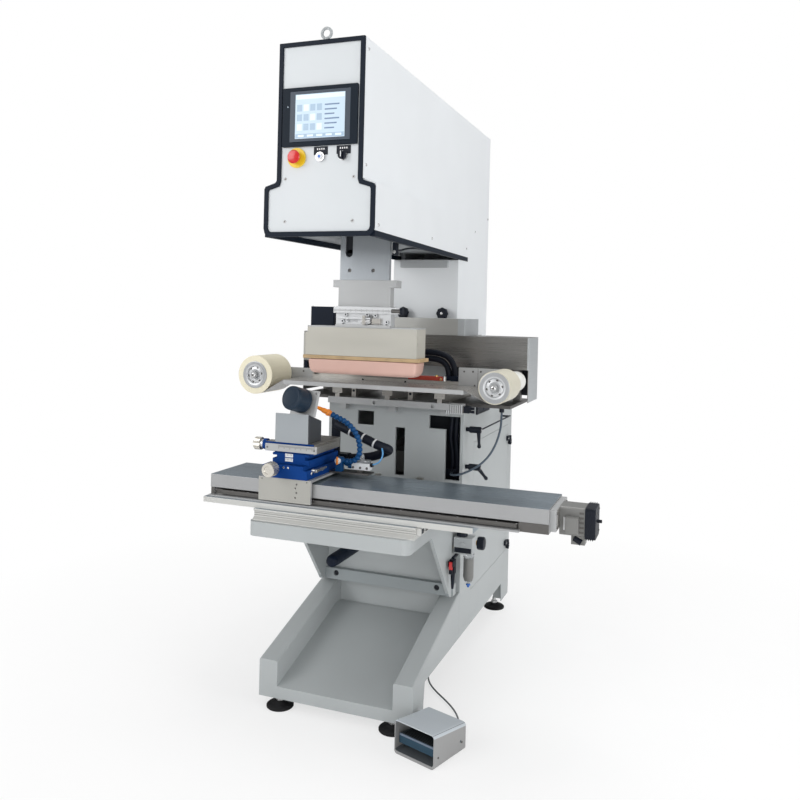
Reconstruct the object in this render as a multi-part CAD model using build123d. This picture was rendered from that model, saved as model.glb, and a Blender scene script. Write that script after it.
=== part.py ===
from build123d import *
from math import radians, tan
import os

# Millimetres. X to the right, Y back from the front of the head, Z up from the floor.
# Every solid is moved at the end so that the origin is the bottom centre of the whole machine.
os.makedirs("parts", exist_ok=True)

# Stand
STAND_HALF = 271
CHEEK_INNER = 204
STAND_FRONT = 187
PLATE_FRONT = 680
STAND_REAR = 1475
STAND_TOP = 972
CABINET_FLOOR = 125
SHEET = 3
PLATE = 12
CROSSBAR_BOTTOM = 293.5

# Head and column
HEAD_HALF = 141
FLARE_HALF = 183
HEAD_TOP = 2122
HEAD_BOTTOM = 1552
TRIM_BOTTOM = 1534
SHOULDER_TOP = 1706
SHOULDER_BOTTOM = 1690
FLARE_REAR = 1142
COLUMN_FRONT = 1004

# Pad unit
PAD_FRONT = 362
PAD_REAR = 452
PAD_BOTTOM = 1092
SCREW_R = 8
RUNNING_GAP = 0.05
SLIDE_GAP = 0.4

# Ink and tape carriage
ROLL_Z = 1072
ROLL_X = 449
ROLL_R_LEFT = 70
ROLL_R_RIGHT = 55
ROLL_BORE = 38
HUB_PIN_R = 12
TAPE_FRONT = 415
TAPE_REAR = 567
WEB_TOP = 1062
ROD_R = 9

# Table
TABLE_LEFT = -452
TABLE_RIGHT = 684
TABLE_FRONT = 148
TABLE_BACK = 375
AXIS_Y = 262
AXIS_Z = 712
AXIS_SCREW_R = 10

# Foot switch
PEDAL_CORNER = (251, 85)
PEDAL_TURN = -19
PEDAL_WIDTH = 148
PEDAL_DEPTH = 158
PEDAL_WALL = 3

nodes = {}


def block(x0, x1, y0, y1, z0, z1):
    place = Pos((x0 + x1) / 2, (y0 + y1) / 2, (z0 + z1) / 2)
    return place * Box(x1 - x0, y1 - y0, z1 - z0)


def rod_x(radius, x0, x1, y, z):
    return Pos((x0 + x1) / 2, y, z) * Rot(0, 90, 0) * Cylinder(radius, x1 - x0)


def rod_y(radius, y0, y1, x, z):
    return Pos(x, (y0 + y1) / 2, z) * Rot(90, 0, 0) * Cylinder(radius, y1 - y0)


def rod_z(radius, z0, z1, x, y):
    return Pos(x, y, (z0 + z1) / 2) * Cylinder(radius, z1 - z0)


def side_profile(points, x0, x1):
    """A (Y, Z) outline made solid from x0 to x1."""
    plane = Plane(origin=(x0, 0, 0), x_dir=(0, 1, 0), z_dir=(1, 0, 0))
    return extrude(plane * make_face(Polyline(*points, close=True)), amount=x1 - x0)


def front_profile(points, y0, y1):
    """An (X, Z) outline made solid from y0 to y1."""
    plane = Plane(origin=(0, y1, 0), x_dir=(1, 0, 0), z_dir=(0, -1, 0))
    return extrude(plane * make_face(Polyline(*points, close=True)), amount=y1 - y0)


def round_edges(part, axis, radius):
    return fillet(part.edges().filter_by(axis), radius)


def mirror_x(part):
    return mirror(part, about=Plane.YZ)


def bent_tube(points, radius, bend):
    """A round bar along a route with arcs of the given radius at each inner point."""
    route = FilletPolyline(*points, radius=[bend] * (len(points) - 2))
    start = Plane(origin=route @ 0, z_dir=route % 0)
    return sweep(start * Circle(radius), path=route)


def cord(points, diameter, name):
    """A cord along its route. Each arc takes 0.45 of the shorter run beside it."""
    vectors = [Vector(*p) for p in points]
    radii = []
    for before, corner, after in zip(vectors, vectors[1:], vectors[2:]):
        inward = corner - before
        outward = after - corner
        turn = radians(inward.get_angle(outward))
        radii.append(0.45 * min(inward.length, outward.length) / tan(turn / 2))
    print(name, "length of the route", round(sum((b - a).length for a, b in zip(vectors, vectors[1:]))))
    print(name, "radii", [round(r) for r in radii])
    route = FilletPolyline(*points, radius=radii)
    start = Plane(origin=route @ 0, z_dir=route % 0)
    return sweep(start * Circle(diameter / 2), path=route)


# Stand
def cheek(x0, x1):
    outer = [(187, 31), (288, 31), (300, 125), (679, 125), (679, 293), (655, 289), (187, 154)]
    inner = [(191, 27), (284, 27), (296, 121), (675, 121), (675, 289), (655, 285), (191, 151)]
    body = side_profile(outer, x0, x1)
    slanted = [e for e in body.edges() if e.length > 400 and 200 < e.center().Z < 240]
    return fillet(slanted, 6) - side_profile(inner, x0 + 4, x1 - 4)


tray_floor = side_profile([(187, 70), (640, 200), (679, 200), (679, 195), (641, 195), (191, 66),
                           (191, 31), (187, 31)], -CHEEK_INNER - 4, CHEEK_INNER + 4)
foot_tray = cheek(CHEEK_INNER, STAND_HALF) + cheek(-STAND_HALF, -CHEEK_INNER) + tray_floor
foot_tray += block(176, 240, 187, 240, 31, 37) + block(-240, -176, 187, 240, 31, 37)
for x0 in (CHEEK_INNER, -CHEEK_INNER - 4):
    foot_tray += side_profile([(287, 96), (287, 130), (392, 130), (392, 126)], x0, x0 + 4)
nodes["foot_tray"] = [foot_tray]

front_plate = block(-STAND_HALF + SHEET, STAND_HALF - SHEET, PLATE_FRONT, PLATE_FRONT + PLATE,
                    CABINET_FLOOR, STAND_TOP)
front_plate -= block(-150, -83, 670, 700, 881, 934)
front_plate -= block(6, 44, 670, 700, 700, 880)
front_plate -= block(139, 260, 670, 700, 885, 934)
front_plate -= block(203, 260, 670, 700, 700, 890)
frame_parts = [front_plate, block(-268, 268, 692, 1472, CABINET_FLOOR, CABINET_FLOOR + 6),
               block(-268, 268, 692, 1472, STAND_TOP - 8, STAND_TOP)]
for post_x in (-246, 246):
    for post_y in (790, 1445):
        frame_parts.append(block(post_x - 20, post_x + 20, post_y - 20, post_y + 20,
                                 CABINET_FLOOR + 6, STAND_TOP - 8))
    frame_parts.append(block(post_x - 20, post_x + 20, 1380, 1465, 45, CABINET_FLOOR))
guides = [block(-122, -98, 668, PLATE_FRONT, 340, 700), block(98, 122, 668, PLATE_FRONT, 340, 700)]
rack = block(-70, -50, 670, PLATE_FRONT, 340, 700)
nodes["stand_frame"] = frame_parts + [rack] + guides

panel_line = [(PLATE_FRONT, 125), (1340, 125), (1350, 45), (1475, 45), (1475, 972), (PLATE_FRONT, 972)]
side_panel = side_profile(panel_line, 268, STAND_HALF)
door_hole = block(260, 280, 835, 1405, 256, 822)
rear_panel = block(-268, 268, 1472, 1475, 131, 972) - block(-150, 150, 1460, 1480, 600, 700)
for row in range(5):
    rear_panel += block(-155, 155, 1470, 1474, 606 + 18 * row, 612 + 18 * row)
lever_holes = rod_x(5 + RUNNING_GAP, 260, 280, 720, 886) + rod_x(5 + RUNNING_GAP, 260, 280, 720, 748)
nodes["cabinet_panels"] = [mirror_x(side_panel), side_panel - door_hole - lever_holes, rear_panel]

feet = []
for fx, fy, top in ((200, 205, 31), (-200, 205, 31), (230, 1390, 45), (-230, 1390, 45)):
    foot = Pos(fx, fy, 0) * Cone(45, 38, 12, align=(Align.CENTER, Align.CENTER, Align.MIN))
    foot += rod_z(20, 12, 22, fx, fy) + rod_z(8, 22, top, fx, fy) + rod_z(14, 22, 30, fx, fy)
    feet.append(foot)
nodes["levelling_feet"] = feet

bed = [block(-415, 440, 700, 1003, 972, 984)]
beam = block(-240, 240, 600, 650, 966, 990)
beam -= rod_y(6, 590, 612, -52, 976) + rod_y(6, 590, 612, 176, 976)
for bx in (-202, 0, 202):
    beam += block(bx - 14, bx + 14, 650, 680, 940, 988)
bed.append(beam)
for bx in (-202, 0, 202):
    bed.append(block(bx - 9, bx + 9, 600, 840 if bx == 0 else 995, 990, 1004))
    bed.append(block(bx - 9, bx + 9, 700, 840 if bx == 0 else 995, 984, 990))
cylinder = block(-22, 22, 850, 1000, 984, 1040) - rod_y(ROD_R + RUNNING_GAP, 840, 996, 0, 1018)
bed.append(cylinder)
nodes["bed_frame"] = bed

# Column and head
spine = block(112, 130, 1060, 1440, 972, 2060) + block(-130, -112, 1060, 1440, 972, 2060)
spine += block(-112, 112, 1428, 1440, 972, 2060)
spine += block(-112, 112, 1060, 1072, 972, 1440)
spine += block(-130, 130, 1060, 1440, 2048, 2060)
spine += block(-130, 130, 1040, 1460, 972, 990)
for sign in (-1, 1):
    inner, outer = sorted((112 * sign, 130 * sign))
    spine += block(inner, outer, 60, 1070, 1590, 1700)
    rail_in, rail_out = sorted((105 * sign, 112 * sign))
    spine += block(rail_in, rail_out, 80, 1250, 1636, 1654)
spine += block(-130, 130, 60, 74, 1600, 1690)
spine += block(-112, 112, 1300, 1312, 1540, 1700)
spine -= rod_y(SCREW_R + RUNNING_GAP, 1290, 1320, 0, 1600)
spine += block(-20, 20, 16, 64, 2095, 2119) + block(-60, 60, 60, 74, 1690, 2119)
spine += block(-60, 60, 74, 1300, 2100, 2119) + block(-60, 60, 1180, 1300, 2056, 2104)
nodes["column_frame"] = [spine]

flare_outer = ConvexPolyhedron([
    (HEAD_HALF - 1, 3, SHOULDER_TOP), (FLARE_HALF, 3, SHOULDER_BOTTOM), (FLARE_HALF, 3, HEAD_BOTTOM),
    (HEAD_HALF - 1, 3, HEAD_BOTTOM), (HEAD_HALF - 1, FLARE_REAR, SHOULDER_TOP),
    (HEAD_HALF, FLARE_REAR, SHOULDER_BOTTOM), (HEAD_HALF, FLARE_REAR, HEAD_BOTTOM),
    (HEAD_HALF - 1, FLARE_REAR, HEAD_BOTTOM)])
flare_inner = ConvexPolyhedron([
    (HEAD_HALF - 4, 0, SHOULDER_TOP - 4), (FLARE_HALF - 3, 0, SHOULDER_BOTTOM - 2),
    (FLARE_HALF - 3, 0, HEAD_BOTTOM - 5), (HEAD_HALF - 4, 0, HEAD_BOTTOM - 5),
    (HEAD_HALF - 4, FLARE_REAR - 80, SHOULDER_TOP - 4), (HEAD_HALF, FLARE_REAR - 80, SHOULDER_BOTTOM - 2),
    (HEAD_HALF, FLARE_REAR - 80, HEAD_BOTTOM - 5), (HEAD_HALF - 4, FLARE_REAR - 80, HEAD_BOTTOM - 5)])
cover_line = [(3, HEAD_BOTTOM), (3, HEAD_TOP - 3), (1472, HEAD_TOP - 3), (1472, 984), (1007, 984),
              (1007, HEAD_BOTTOM)]
side_cover = side_profile(cover_line, HEAD_HALF - 3, HEAD_HALF) + flare_outer - flare_inner
side_cover -= block(120, 150, 990, FLARE_REAR, TRIM_BOTTOM, HEAD_BOTTOM)
nodes["side_covers"] = [mirror_x(side_cover), side_cover]

top_cover = block(-HEAD_HALF, HEAD_HALF, 3, 1475, HEAD_TOP - 3, HEAD_TOP) - rod_z(9, 2100, 2130, 0, 28)
rear_cover = block(-HEAD_HALF, HEAD_HALF, 1472, 1475, 984, HEAD_TOP - 3)
front_cover = block(-HEAD_HALF, HEAD_HALF, COLUMN_FRONT, COLUMN_FRONT + SHEET, 984, 1532)
front_cover += block(-105, 100, 985, 1004.5, 1500, 1532)
for kx in (-85, 85):
    front_cover -= rod_y(6 + RUNNING_GAP, 1000, 1010, kx, 1312)
nodes["head_covers"] = [top_cover, rear_cover, front_cover]

trim_outer = [(-141, 2122), (-141, 1706), (-145, 1698), (-179, 1688), (-183, 1680), (-183, 1560),
              (-179, 1545), (-168, 1535), (-158, 1534), (158, 1534), (168, 1535), (179, 1545),
              (183, 1560), (183, 1680), (179, 1688), (145, 1698), (141, 1706), (141, 2122)]
trim_inner = [(-128, 2109), (-128, 1702), (-133, 1688), (-167, 1678), (-170, 1672), (-170, 1562),
              (-167, 1554), (-160, 1549), (160, 1549), (167, 1554), (170, 1562), (170, 1672),
              (167, 1678), (133, 1688), (128, 1702), (128, 2109)]
trim = front_profile(trim_outer, -7, 3) - front_profile(trim_inner, -10, 10)
lower_strip = ConvexPolyhedron([
    (168, 3, 1534), (183, 3, 1534), (183, 3, 1552), (168, 3, 1552),
    (131, FLARE_REAR, 1534), (141, FLARE_REAR, 1534), (141, FLARE_REAR, 1552), (131, FLARE_REAR, 1552)])
nodes["head_trim"] = [trim + lower_strip + mirror_x(lower_strip)]

panel_holes = block(-118, 118, -2, 5, 1812, 1976)
panel_holes += rod_y(11, -2, 5, -75, 1772) + rod_y(11, -2, 5, 4, 1772) + rod_y(11, -2, 5, 79, 1772)
front_panel = front_profile([(x * 0.999, z) for x, z in trim_inner], -1.5, 1.5) - panel_holes

bezel = round_edges(block(-124, 124, -10, -1.5, 1805, 1983), Axis.Y, 3)
bezel += block(-116, 116, -1.5, 45, 1814, 1974)
bezel -= block(-90, 94, -12, -8.5, 1818, 1972)
nodes["touch_screen"] = [bezel, block(-89, 93, -9.6, -8.5, 1819, 1971)]


def ring_y(outer, inner, y0, y1, x, z):
    return rod_y(outer, y0, y1, x, z) - rod_y(inner, y0 - 1, y1 + 1, x, z)


rings = [
    ring_y(30, 9 + RUNNING_GAP, -7, -1.5, -75, 1772) + ring_y(11, 9 + RUNNING_GAP, -1.5, 40, -75, 1772),
    ring_y(14.5, 9 + RUNNING_GAP, -9, -1.5, 4, 1772) + ring_y(11, 9 + RUNNING_GAP, -1.5, 40, 4, 1772),
    ring_y(14.5, 9 + RUNNING_GAP, -9, -1.5, 79, 1772) + ring_y(11, 9 + RUNNING_GAP, -1.5, 40, 79, 1772)]
for lx in (4, 79):
    legend = block(lx - 23, lx + 23, -3, -1.5, 1778, 1803)
    rings.append(legend - rod_y(14.6, -10, 5, lx, 1772))

nodes["front_panel"] = [front_panel] + rings

mushroom = rod_y(20, -30, -19, -75, 1772)
mushroom = fillet(mushroom.edges().sort_by(Axis.Y)[0], 6)
nodes["stop_cap"] = [mushroom + rod_y(9, -20, 30, -75, 1772)]
nodes["push_button"] = [rod_y(9, -13, 20, 4, 1772)]
handle = block(75.5, 82.5, -24, -10, 1760, 1784) + rod_y(12, -18, -9.6, 79, 1772)
nodes["selector_knob"] = [handle + rod_y(9, -10, 20, 79, 1772)]

eye_ring = Pos(0, 28, 2152) * Rot(90, 0, 0) * Torus(15.5, 4.5)
nodes["lifting_eye"] = [eye_ring + rod_z(15, 2122, 2128, 0, 28) + rod_z(7, 2119, 2139, 0, 28)]

screws = []
for sx, sz in ((113, 1709), (112, 1580)):
    for sign in (-1, 1):
        screws.append(rod_y(5, -4.5, -1.5, sx * sign, sz))
for sx, sy, sz in ((141, 23, 1747), (141, 25, 2091), (182.3, 30, 1569), (161.6, 594, 1582),
                   (142.6, 1110, 1586), (141, 1245, 1671), (141, 1458, 1749)):
    for sign in (-1, 1):
        screws.append(rod_x(5, *sorted((sx * sign, (sx + 2.5) * sign)), sy, sz))
nodes["cover_screws"] = screws

# Hood
hood = block(-425, 492, 750, 1003, 984, 1230) - block(-422, 489, 753, 1010, 970, 1227)
hood -= block(-422, 489, 740, 760, 970, 1112)
hood -= block(-500, 500, 920, 1010, 970, 1227)
hood -= block(-500, 500, 740, 1010, 970, 993)
hood += block(150, 489, 912, 915, 1005, 1227) + block(-422, -150, 912, 915, 1005, 1227)
for px in (-385, 420):
    hood += block(px - 15, px + 15, 886, 914, 984, 1228)
hood -= block(246, 500, 920, 1010, 1220, 1235) + block(-500, -246, 920, 1010, 1220, 1235)
cover = block(-244, 244, 760, 955, 1230, 1293) - block(-241, 241, 763, 952, 1220, 1290)
drive_box = round_edges(block(-412, -308, 780, 900, 1250, 1329), Axis.Z, 4)
nodes["hood"] = [hood, cover, block(-414, -306, 776, 904, 1230, 1250), drive_box]


def column_knob(x):
    knob = rod_y(25, 966, 987, x, 1312)
    knob = fillet(knob.edges().sort_by(Axis.Y)[0], 5)
    return knob + rod_y(10, 987, 1003.5, x, 1312) + rod_y(6, 1000, 1020, x, 1312)


nodes["column_knob_left"] = [column_knob(-85)]
nodes["column_knob_right"] = [column_knob(85)]

# Horizontal arm and pad slide
arm = block(-96, 96, PAD_REAR + 20, 1040, 1560, 1690) - block(-88, 88, PAD_REAR + 30, 1050, 1572, 1700)
arm += block(-30, 30, 990, 1030, 1566, 1625)
for sign in (-1, 1):
    for y0 in (520, 900):
        x0, x1 = sorted((96 * sign, 111 * sign))
        groove = sorted((104.6 * sign, 113 * sign))
        arm += block(x0, x1, y0, y0 + 80, 1620, 1670) - block(*groove, 500, 1000, 1635.5, 1654.5)
arm -= rod_y(SCREW_R + RUNNING_GAP, 980, 1040, 0, 1600)
guide_plate = block(-96, 96, PAD_REAR, PAD_REAR + 20, 1560, 1990)
for sign in (-1, 1):
    guide_plate += block(60 * sign - 10, 60 * sign + 10, PAD_REAR - 12, PAD_REAR, 1560, 1940)
screw_bearing = block(-60, 60, 370, PAD_REAR, 1945, 1960)
screw_bearing -= rod_z(SCREW_R + RUNNING_GAP, 1930, 1970, 0, 408)
motor = block(-40, 40, 368, 448, 1960, 2090) - rod_z(SCREW_R + RUNNING_GAP, 1950, 1985, 0, 408)
nodes["ram_frame"] = [arm, guide_plate, screw_bearing, motor]
nodes["ram_screw"] = [rod_y(SCREW_R, 690, 1330, 0, 1600) + rod_y(26, 1330, 1395, 0, 1600)]
nodes["pad_screw"] = [rod_z(SCREW_R, 1600, 1984, 0, 408)]

slide_plate = block(-92, 90, PAD_FRONT, 380, 1420, 1680)
slide_plate -= rod_y(6.5, 350, 390, -56, 1453) + rod_y(6.5, 350, 390, 31, 1453)
slot = block(-73, -46, 350, 372, 1512, 1600) + rod_y(13.5, 350, 372, -59.5, 1512)
slide_plate -= slot
saddle = block(-80, 80, 380, 431, 1590, 1760) - rod_z(SCREW_R + RUNNING_GAP, 1580, 1770, 0, 408)
for sign in (-1, 1):
    for z0 in (1600, 1700):
        shoe = block(60 * sign - 17, 60 * sign + 17, 431, 449, z0, z0 + 50)
        saddle += shoe - block(60 * sign - 10.4, 60 * sign + 10.4, 439.6, 460, z0 - 5, z0 + 60)
flange = block(-117, 117, PAD_FRONT, 411, 1395, 1420) + block(-96, 96, PAD_FRONT, 397, 1330, 1395)
scale_rail = block(-108, 134, 350, PAD_FRONT, 1306, 1327)
clamps = block(-103, 100, PAD_FRONT, 400, 1260, 1330)
clamps -= block(-60, -20, PAD_FRONT - 1, 372, 1275, 1290) + block(10, 55, PAD_FRONT - 1, 376, 1268, 1300)
clamps -= rod_y(4, 350, 370, -75, 1268) + rod_y(4, 350, 370, 85, 1268)
nodes["slide_unit"] = [slide_plate, saddle, flange, scale_rail, clamps]

backing = block(-225, 194, PAD_FRONT, PAD_REAR, 1158, 1260) - block(-226, -212, 350, 460, 1236, 1270)
nodes["pad_backing"] = [backing, block(-226, 206, 359, 455, 1146, 1158)]
pad = ConvexPolyhedron([
    (-211, 362, 1146), (196, 362, 1146), (196, 453, 1146), (-211, 453, 1146),
    (-207, 364, 1118), (193, 364, 1118), (193, 451, 1118), (-207, 451, 1118),
    (-187, 378, PAD_BOTTOM + 3), (180, 378, PAD_BOTTOM + 3), (180, 437, PAD_BOTTOM + 3),
    (-187, 437, PAD_BOTTOM + 3), (-183, 400, PAD_BOTTOM), (177, 400, PAD_BOTTOM),
    (177, 415, PAD_BOTTOM), (-183, 415, PAD_BOTTOM)])
nodes["silicone_pad"] = [pad]

# Ink and tape carriage
carriage = block(-288, 300, 570, 590, 1052, 1072) + block(-288, 240, 588, 720, 1058, 1072)
for cx in (-202, 0, 202):
    carriage += block(cx - 20, cx + 20, 600, 720, 1004.4, 1060)
    carriage -= block(cx - 9.4, cx + 9.4, 590, 730, 989, 1004.4)
carriage += rod_y(ROD_R, 700, 872, 0, 1018)
carriage -= rod_y(4, 560, 576, -86, 1062) + rod_y(4, 560, 576, 81, 1062)
left_arm = block(-480, -288, 570, 580, 1050, 1094) + rod_y(30, 570, 580, -ROLL_X, ROLL_Z)
right_arm = block(281, 430, 570, 580, 1055, 1123) + block(430, 485, 570, 580, 1045, 1105)
carriage += left_arm + right_arm
carriage += rod_y(HUB_PIN_R, 404, 572, -ROLL_X, ROLL_Z) + rod_y(HUB_PIN_R, 404, 572, ROLL_X, ROLL_Z)
carriage += block(226, 284, 610, 655, 1050, 1072)
roll_motor = fillet(rod_y(36, 580, 745, ROLL_X, ROLL_Z).edges().sort_by(Axis.Y)[-1], 6)
ink_plate = block(-288, 212, 592, 700, 1072, 1078)
nodes["carriage_frame"] = [carriage, roll_motor, ink_plate]

platen = round_edges(block(-330, 345, 412, 570, 1044, 1058.5), Axis.Y, 4)
web_line = [(-332, 1060.6), (347, 1060.6), (424.2, 1022.3), (423.5, 1020.9), (347, 1058.9), (345, 1058.6),
            (-330, 1058.6), (-332, 1058.9), (-411.5, 1010.5), (-412.3, 1011.8)]
web = front_profile(web_line, TAPE_FRONT, 565)
nodes["tape_platen"] = [platen, web]


def tape_roll(x, radius):
    roll = rod_y(radius, TAPE_FRONT, TAPE_REAR, x, ROLL_Z)
    roll -= rod_y(ROLL_BORE, 400, 580, x, ROLL_Z)
    hub = rod_y(ROLL_BORE, TAPE_FRONT - 3, TAPE_REAR - 2, x, ROLL_Z)
    hub -= ring_y(ROLL_BORE - 4, 16, TAPE_FRONT - 10, TAPE_REAR - 12, x, ROLL_Z)
    hub -= rod_y(HUB_PIN_R + RUNNING_GAP, 380, 600, x, ROLL_Z)
    for turn in range(3):
        bar = block(x - 36, x + 36, TAPE_FRONT, TAPE_FRONT + 8, ROLL_Z - 4, ROLL_Z + 4)
        bar = bar.rotate(Axis((x, 0, ROLL_Z), (0, 1, 0)), 60 * turn + 15)
        hub += bar - rod_y(HUB_PIN_R + RUNNING_GAP, 380, 600, x, ROLL_Z)
    return [roll, hub]


nodes["tape_roll_left"] = tape_roll(-ROLL_X, ROLL_R_LEFT)
nodes["tape_roll_right"] = tape_roll(ROLL_X, ROLL_R_RIGHT)


def conduit(radius, y):
    centre = (151, 1072)
    arc = CenterArc((0, 0, 0), radius, 0, 180)
    plane = Plane(origin=(centre[0], y, centre[1]), x_dir=(1, 0, 0), z_dir=(0, -1, 0))
    path = plane * arc
    start = Plane(origin=path @ 0, z_dir=path % 0)
    return sweep(start * Circle(11.2), path=path)


below_plate = block(38, 90, 600, 660, 1060, 1078)
nodes["carriage_conduits"] = [conduit(98.5, 632) - below_plate, conduit(75.5, 632) - below_plate]


# Knee and table
def front_rounded(part, radius):
    return fillet([e for e in part.edges().filter_by(Axis.Z) if e.center().Y < 110], radius)


knee = front_rounded(block(-277, 277, 99, 658, 625, 629), 26)
knee += front_rounded(block(-277, 277, 99, 500, 583, 629), 26)
knee -= front_rounded(block(-273, 273, 103, 510, 570, 625), 22)
knee += block(-257, 257, 648, 658, CROSSBAR_BOTTOM, 626)
crossbar = block(-262, 262, 625, 660, CROSSBAR_BOTTOM, 335)
crossbar -= rod_y(10.5, 620, 670, -200, 318) + rod_y(10.5, 620, 670, 200, 318)
knee += crossbar
gusset_line = [(365, 626), (365, 583), (463, 465), (587, 316), (600, 300), (625, CROSSBAR_BOTTOM),
               (652, CROSSBAR_BOTTOM), (652, 626)]
for sign in (-1, 1):
    knee += side_profile(gusset_line, *sorted((245 * sign, 257 * sign)))
    for z0 in (400, 530):
        shoe = block(110 * sign - 28, 110 * sign + 28, 657, 677, z0, z0 + 60)
        knee += shoe - block(110 * sign - 12.4, 110 * sign + 12.4, 667.6, 680, z0 - 5, z0 + 70)
knee -= rod_y(10 + RUNNING_GAP, 600, 670, -60, 476)
nodes["knee_bracket"] = [knee]

grip = fillet(rod_y(21, 270, 640, -60, 476).edges().sort_by(Axis.Y)[0], 18)
nodes["lift_grip"] = [grip + rod_y(10, 640, 664, -60, 476)]

beam_line = [(118, 666), (118, 660), (124, 657), (124, 642), (112, 632), (112, 629), (480, 629), (480, 666)]
table_plate = block(-465, 465, 127, 392, 666, 684)
nodes["table_beam"] = [side_profile(beam_line, -268, 290), block(290, 305, 128, 380, 642, 664), table_plate]

profile = block(TABLE_LEFT, 600, 135, 385, 684, 690)
profile += block(TABLE_LEFT, 600, 160, 172, 690, 706) + block(TABLE_LEFT, 600, 353, 365, 690, 706)
profile += block(596, TABLE_RIGHT, 150, 373, 684, 712.6)
end_plates = block(TABLE_LEFT, -440, 152, 371, 690, 753)
end_plates += block(672, TABLE_RIGHT, 152, 371, 690, 753)
profile += end_plates - rod_x(AXIS_SCREW_R + RUNNING_GAP, -460, 700, AXIS_Y, AXIS_Z)
profile -= block(596, 671, 246, 278, 696, 720) + rod_x(AXIS_SCREW_R + RUNNING_GAP, 660, 700, AXIS_Y, AXIS_Z)
rails = [block(-410, 590, 150, 160, 692, 706), block(-410, 590, 365, 375, 692, 706)]
end_flange = block(TABLE_RIGHT, 702, 165, 360, 690, 753) - rod_x(AXIS_SCREW_R + 1, 680, 720, AXIS_Y, AXIS_Z)
nodes["axis_profile"] = [profile, end_flange] + rails
nodes["axis_cover"] = [block(TABLE_LEFT, TABLE_RIGHT, TABLE_FRONT, TABLE_BACK, 713, 757)
                       - block(-500, 700, TABLE_FRONT + 4, TABLE_BACK - 4, 700, 753)]
nodes["axis_screw"] = [rod_x(AXIS_SCREW_R, -448, 694, AXIS_Y, AXIS_Z)]

motor_body = round_edges(block(702, 776, AXIS_Y - 42, AXIS_Y + 42, 670, 754), Axis.X, 8)
motor_body += block(722, 760, 196, 222, 682, 728) + block(735, 775, 236, 276, 642, 672)
motor_cap = round_edges(block(776, 807, AXIS_Y - 46, AXIS_Y + 46, 664, 756), Axis.X, 10)
motor_cap += rod_x(5, 807, 820, AXIS_Y, AXIS_Z)
nodes["axis_motor"] = [motor_body, motor_cap]

table_saddle = block(-258, -70, 131, 392, 763, 770)
table_saddle += block(-258, -70, 131, 141, 694, 770) + block(-258, -70, 382, 392, 694, 770)
for x0 in (-250, -138):
    table_saddle += block(x0, x0 + 60, 141, 149.5, 693, 705) + block(x0, x0 + 60, 375.5, 382, 693, 705)
table_saddle += block(-220, -110, 140, 383, 707, 711.6)
table_saddle += block(-200, -130, AXIS_Y - 22, AXIS_Y + 22, 694, 734)
table_saddle -= rod_x(AXIS_SCREW_R + RUNNING_GAP, -230, -100, AXIS_Y, AXIS_Z)
table_saddle -= rod_y(3, 125, 137, -124, 742) + rod_y(3, 125, 137, -124, 712)
nodes["table_saddle"] = [table_saddle]

stage_base = block(-237, -83, 128, 380, 770, 813) + rod_y(16, 118, 130, -192, 804)
stage_base -= block(-210, -174, 110, 131, 813, 825)
stage_base -= block(-250, -212, 120, 400, 800, 820) + block(-96, -70, 120, 400, 800, 820)
nodes["stage_base"] = [stage_base - rod_y(5 + RUNNING_GAP, 110, 176, -192, 804)]
cross_slide = block(-220, -88, 150, 372, 813.4, 848) - block(-225, -205, 140, 380, 830, 840)
nodes["cross_slide"] = [cross_slide - block(-103, -80, 140, 380, 830, 840)]
cross_knob = rod_y(23, 70, 106, -192, 804)
cross_knob = fillet(cross_knob.edges().sort_by(Axis.Y)[0], 3)
nodes["cross_knob"] = [cross_knob + rod_y(15, 106, 117.6, -192, 804) + rod_y(5, 117, 172, -192, 804)]
top_slide = block(-214, -72, 153, 350, 848.4, 882) + block(-250, -214, 153, 192, 851, 882)
top_slide -= rod_x(5 + RUNNING_GAP, -260, -212, 172, 869)
top_knob = fillet(rod_x(21, -296, -272, 172, 869).edges().sort_by(Axis.X)[0], 3)
top_knob += rod_x(16, -272, -262, 172, 869) + rod_x(18, -262, -250.4, 172, 869)
nodes["top_knob"] = [top_knob + rod_x(5, -251, -214, 172, 869)]

fixture = round_edges(side_profile([(150, 882), (247, 882), (247, 947), (150, 977)], -214, -92), Axis.Z, 5)
work_plane = Plane(origin=(-126, 190, 1014), x_dir=(0.9661, -0.2582, 0), z_dir=(-0.2496, -0.934, 0.2556))
holder = work_plane * (Pos(0, -4, 0) * Box(104, 84, 10) - Pos(44, 29, 0) * Cylinder(4, 20))
holder += work_plane * Pos(0, 0, 9) * Cylinder(16, 10)
holder += work_plane * Pos(0, 0, 41) * Cylinder(36.9, 56)
nodes["top_slide"] = [top_slide, block(-246, -60, 146, 153, 853, 876), fixture, holder - fixture]
cap_shape = fillet(Cylinder(40, 60).edges().sort_by(Axis.Z)[-1], 4)
cap_shape -= Pos(0, 0, -4) * Cylinder(37, 60)
nodes["sample_cap"] = [work_plane * Pos(0, 0, 43) * cap_shape]

hose_points = [(-36, 300, 812), (4, 300, 814), (24, 300, 850), (20, 300, 896), (-14, 300, 934),
               (-56, 298, 954), (-88, 294, 968)]
blow_hose = bent_tube(hose_points, 10, 16)
nozzle_plane = Plane(origin=(-88, 294, 968), z_dir=(-0.83, -0.36, 0.43))
nozzle = nozzle_plane * Pos(0, 0, 29) * Cone(9, 3, 58) + nozzle_plane * Pos(0, 0, 5) * Cylinder(11.5, 10)
device = round_edges(block(-8, 56, 306, 336, 782, 816), Axis.Y, 6) + rod_z(13, 816, 836, 20, 321)
valve = block(-60, -36, 289, 311, 775, 824) - rod_y(4 + RUNNING_GAP, 280, 297, -48, 812)
nodes["air_fittings"] = [block(-82, 60, 290, 344, 770, 775), valve, device + block(10, 30, 312, 330, 775, 784),
                         blow_hose, nozzle - blow_hose]
nodes["hose_tap"] = [rod_y(4, 279, 296.5, -48, 812) + block(-51, -45, 276, 282, 800, 826)]
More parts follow.
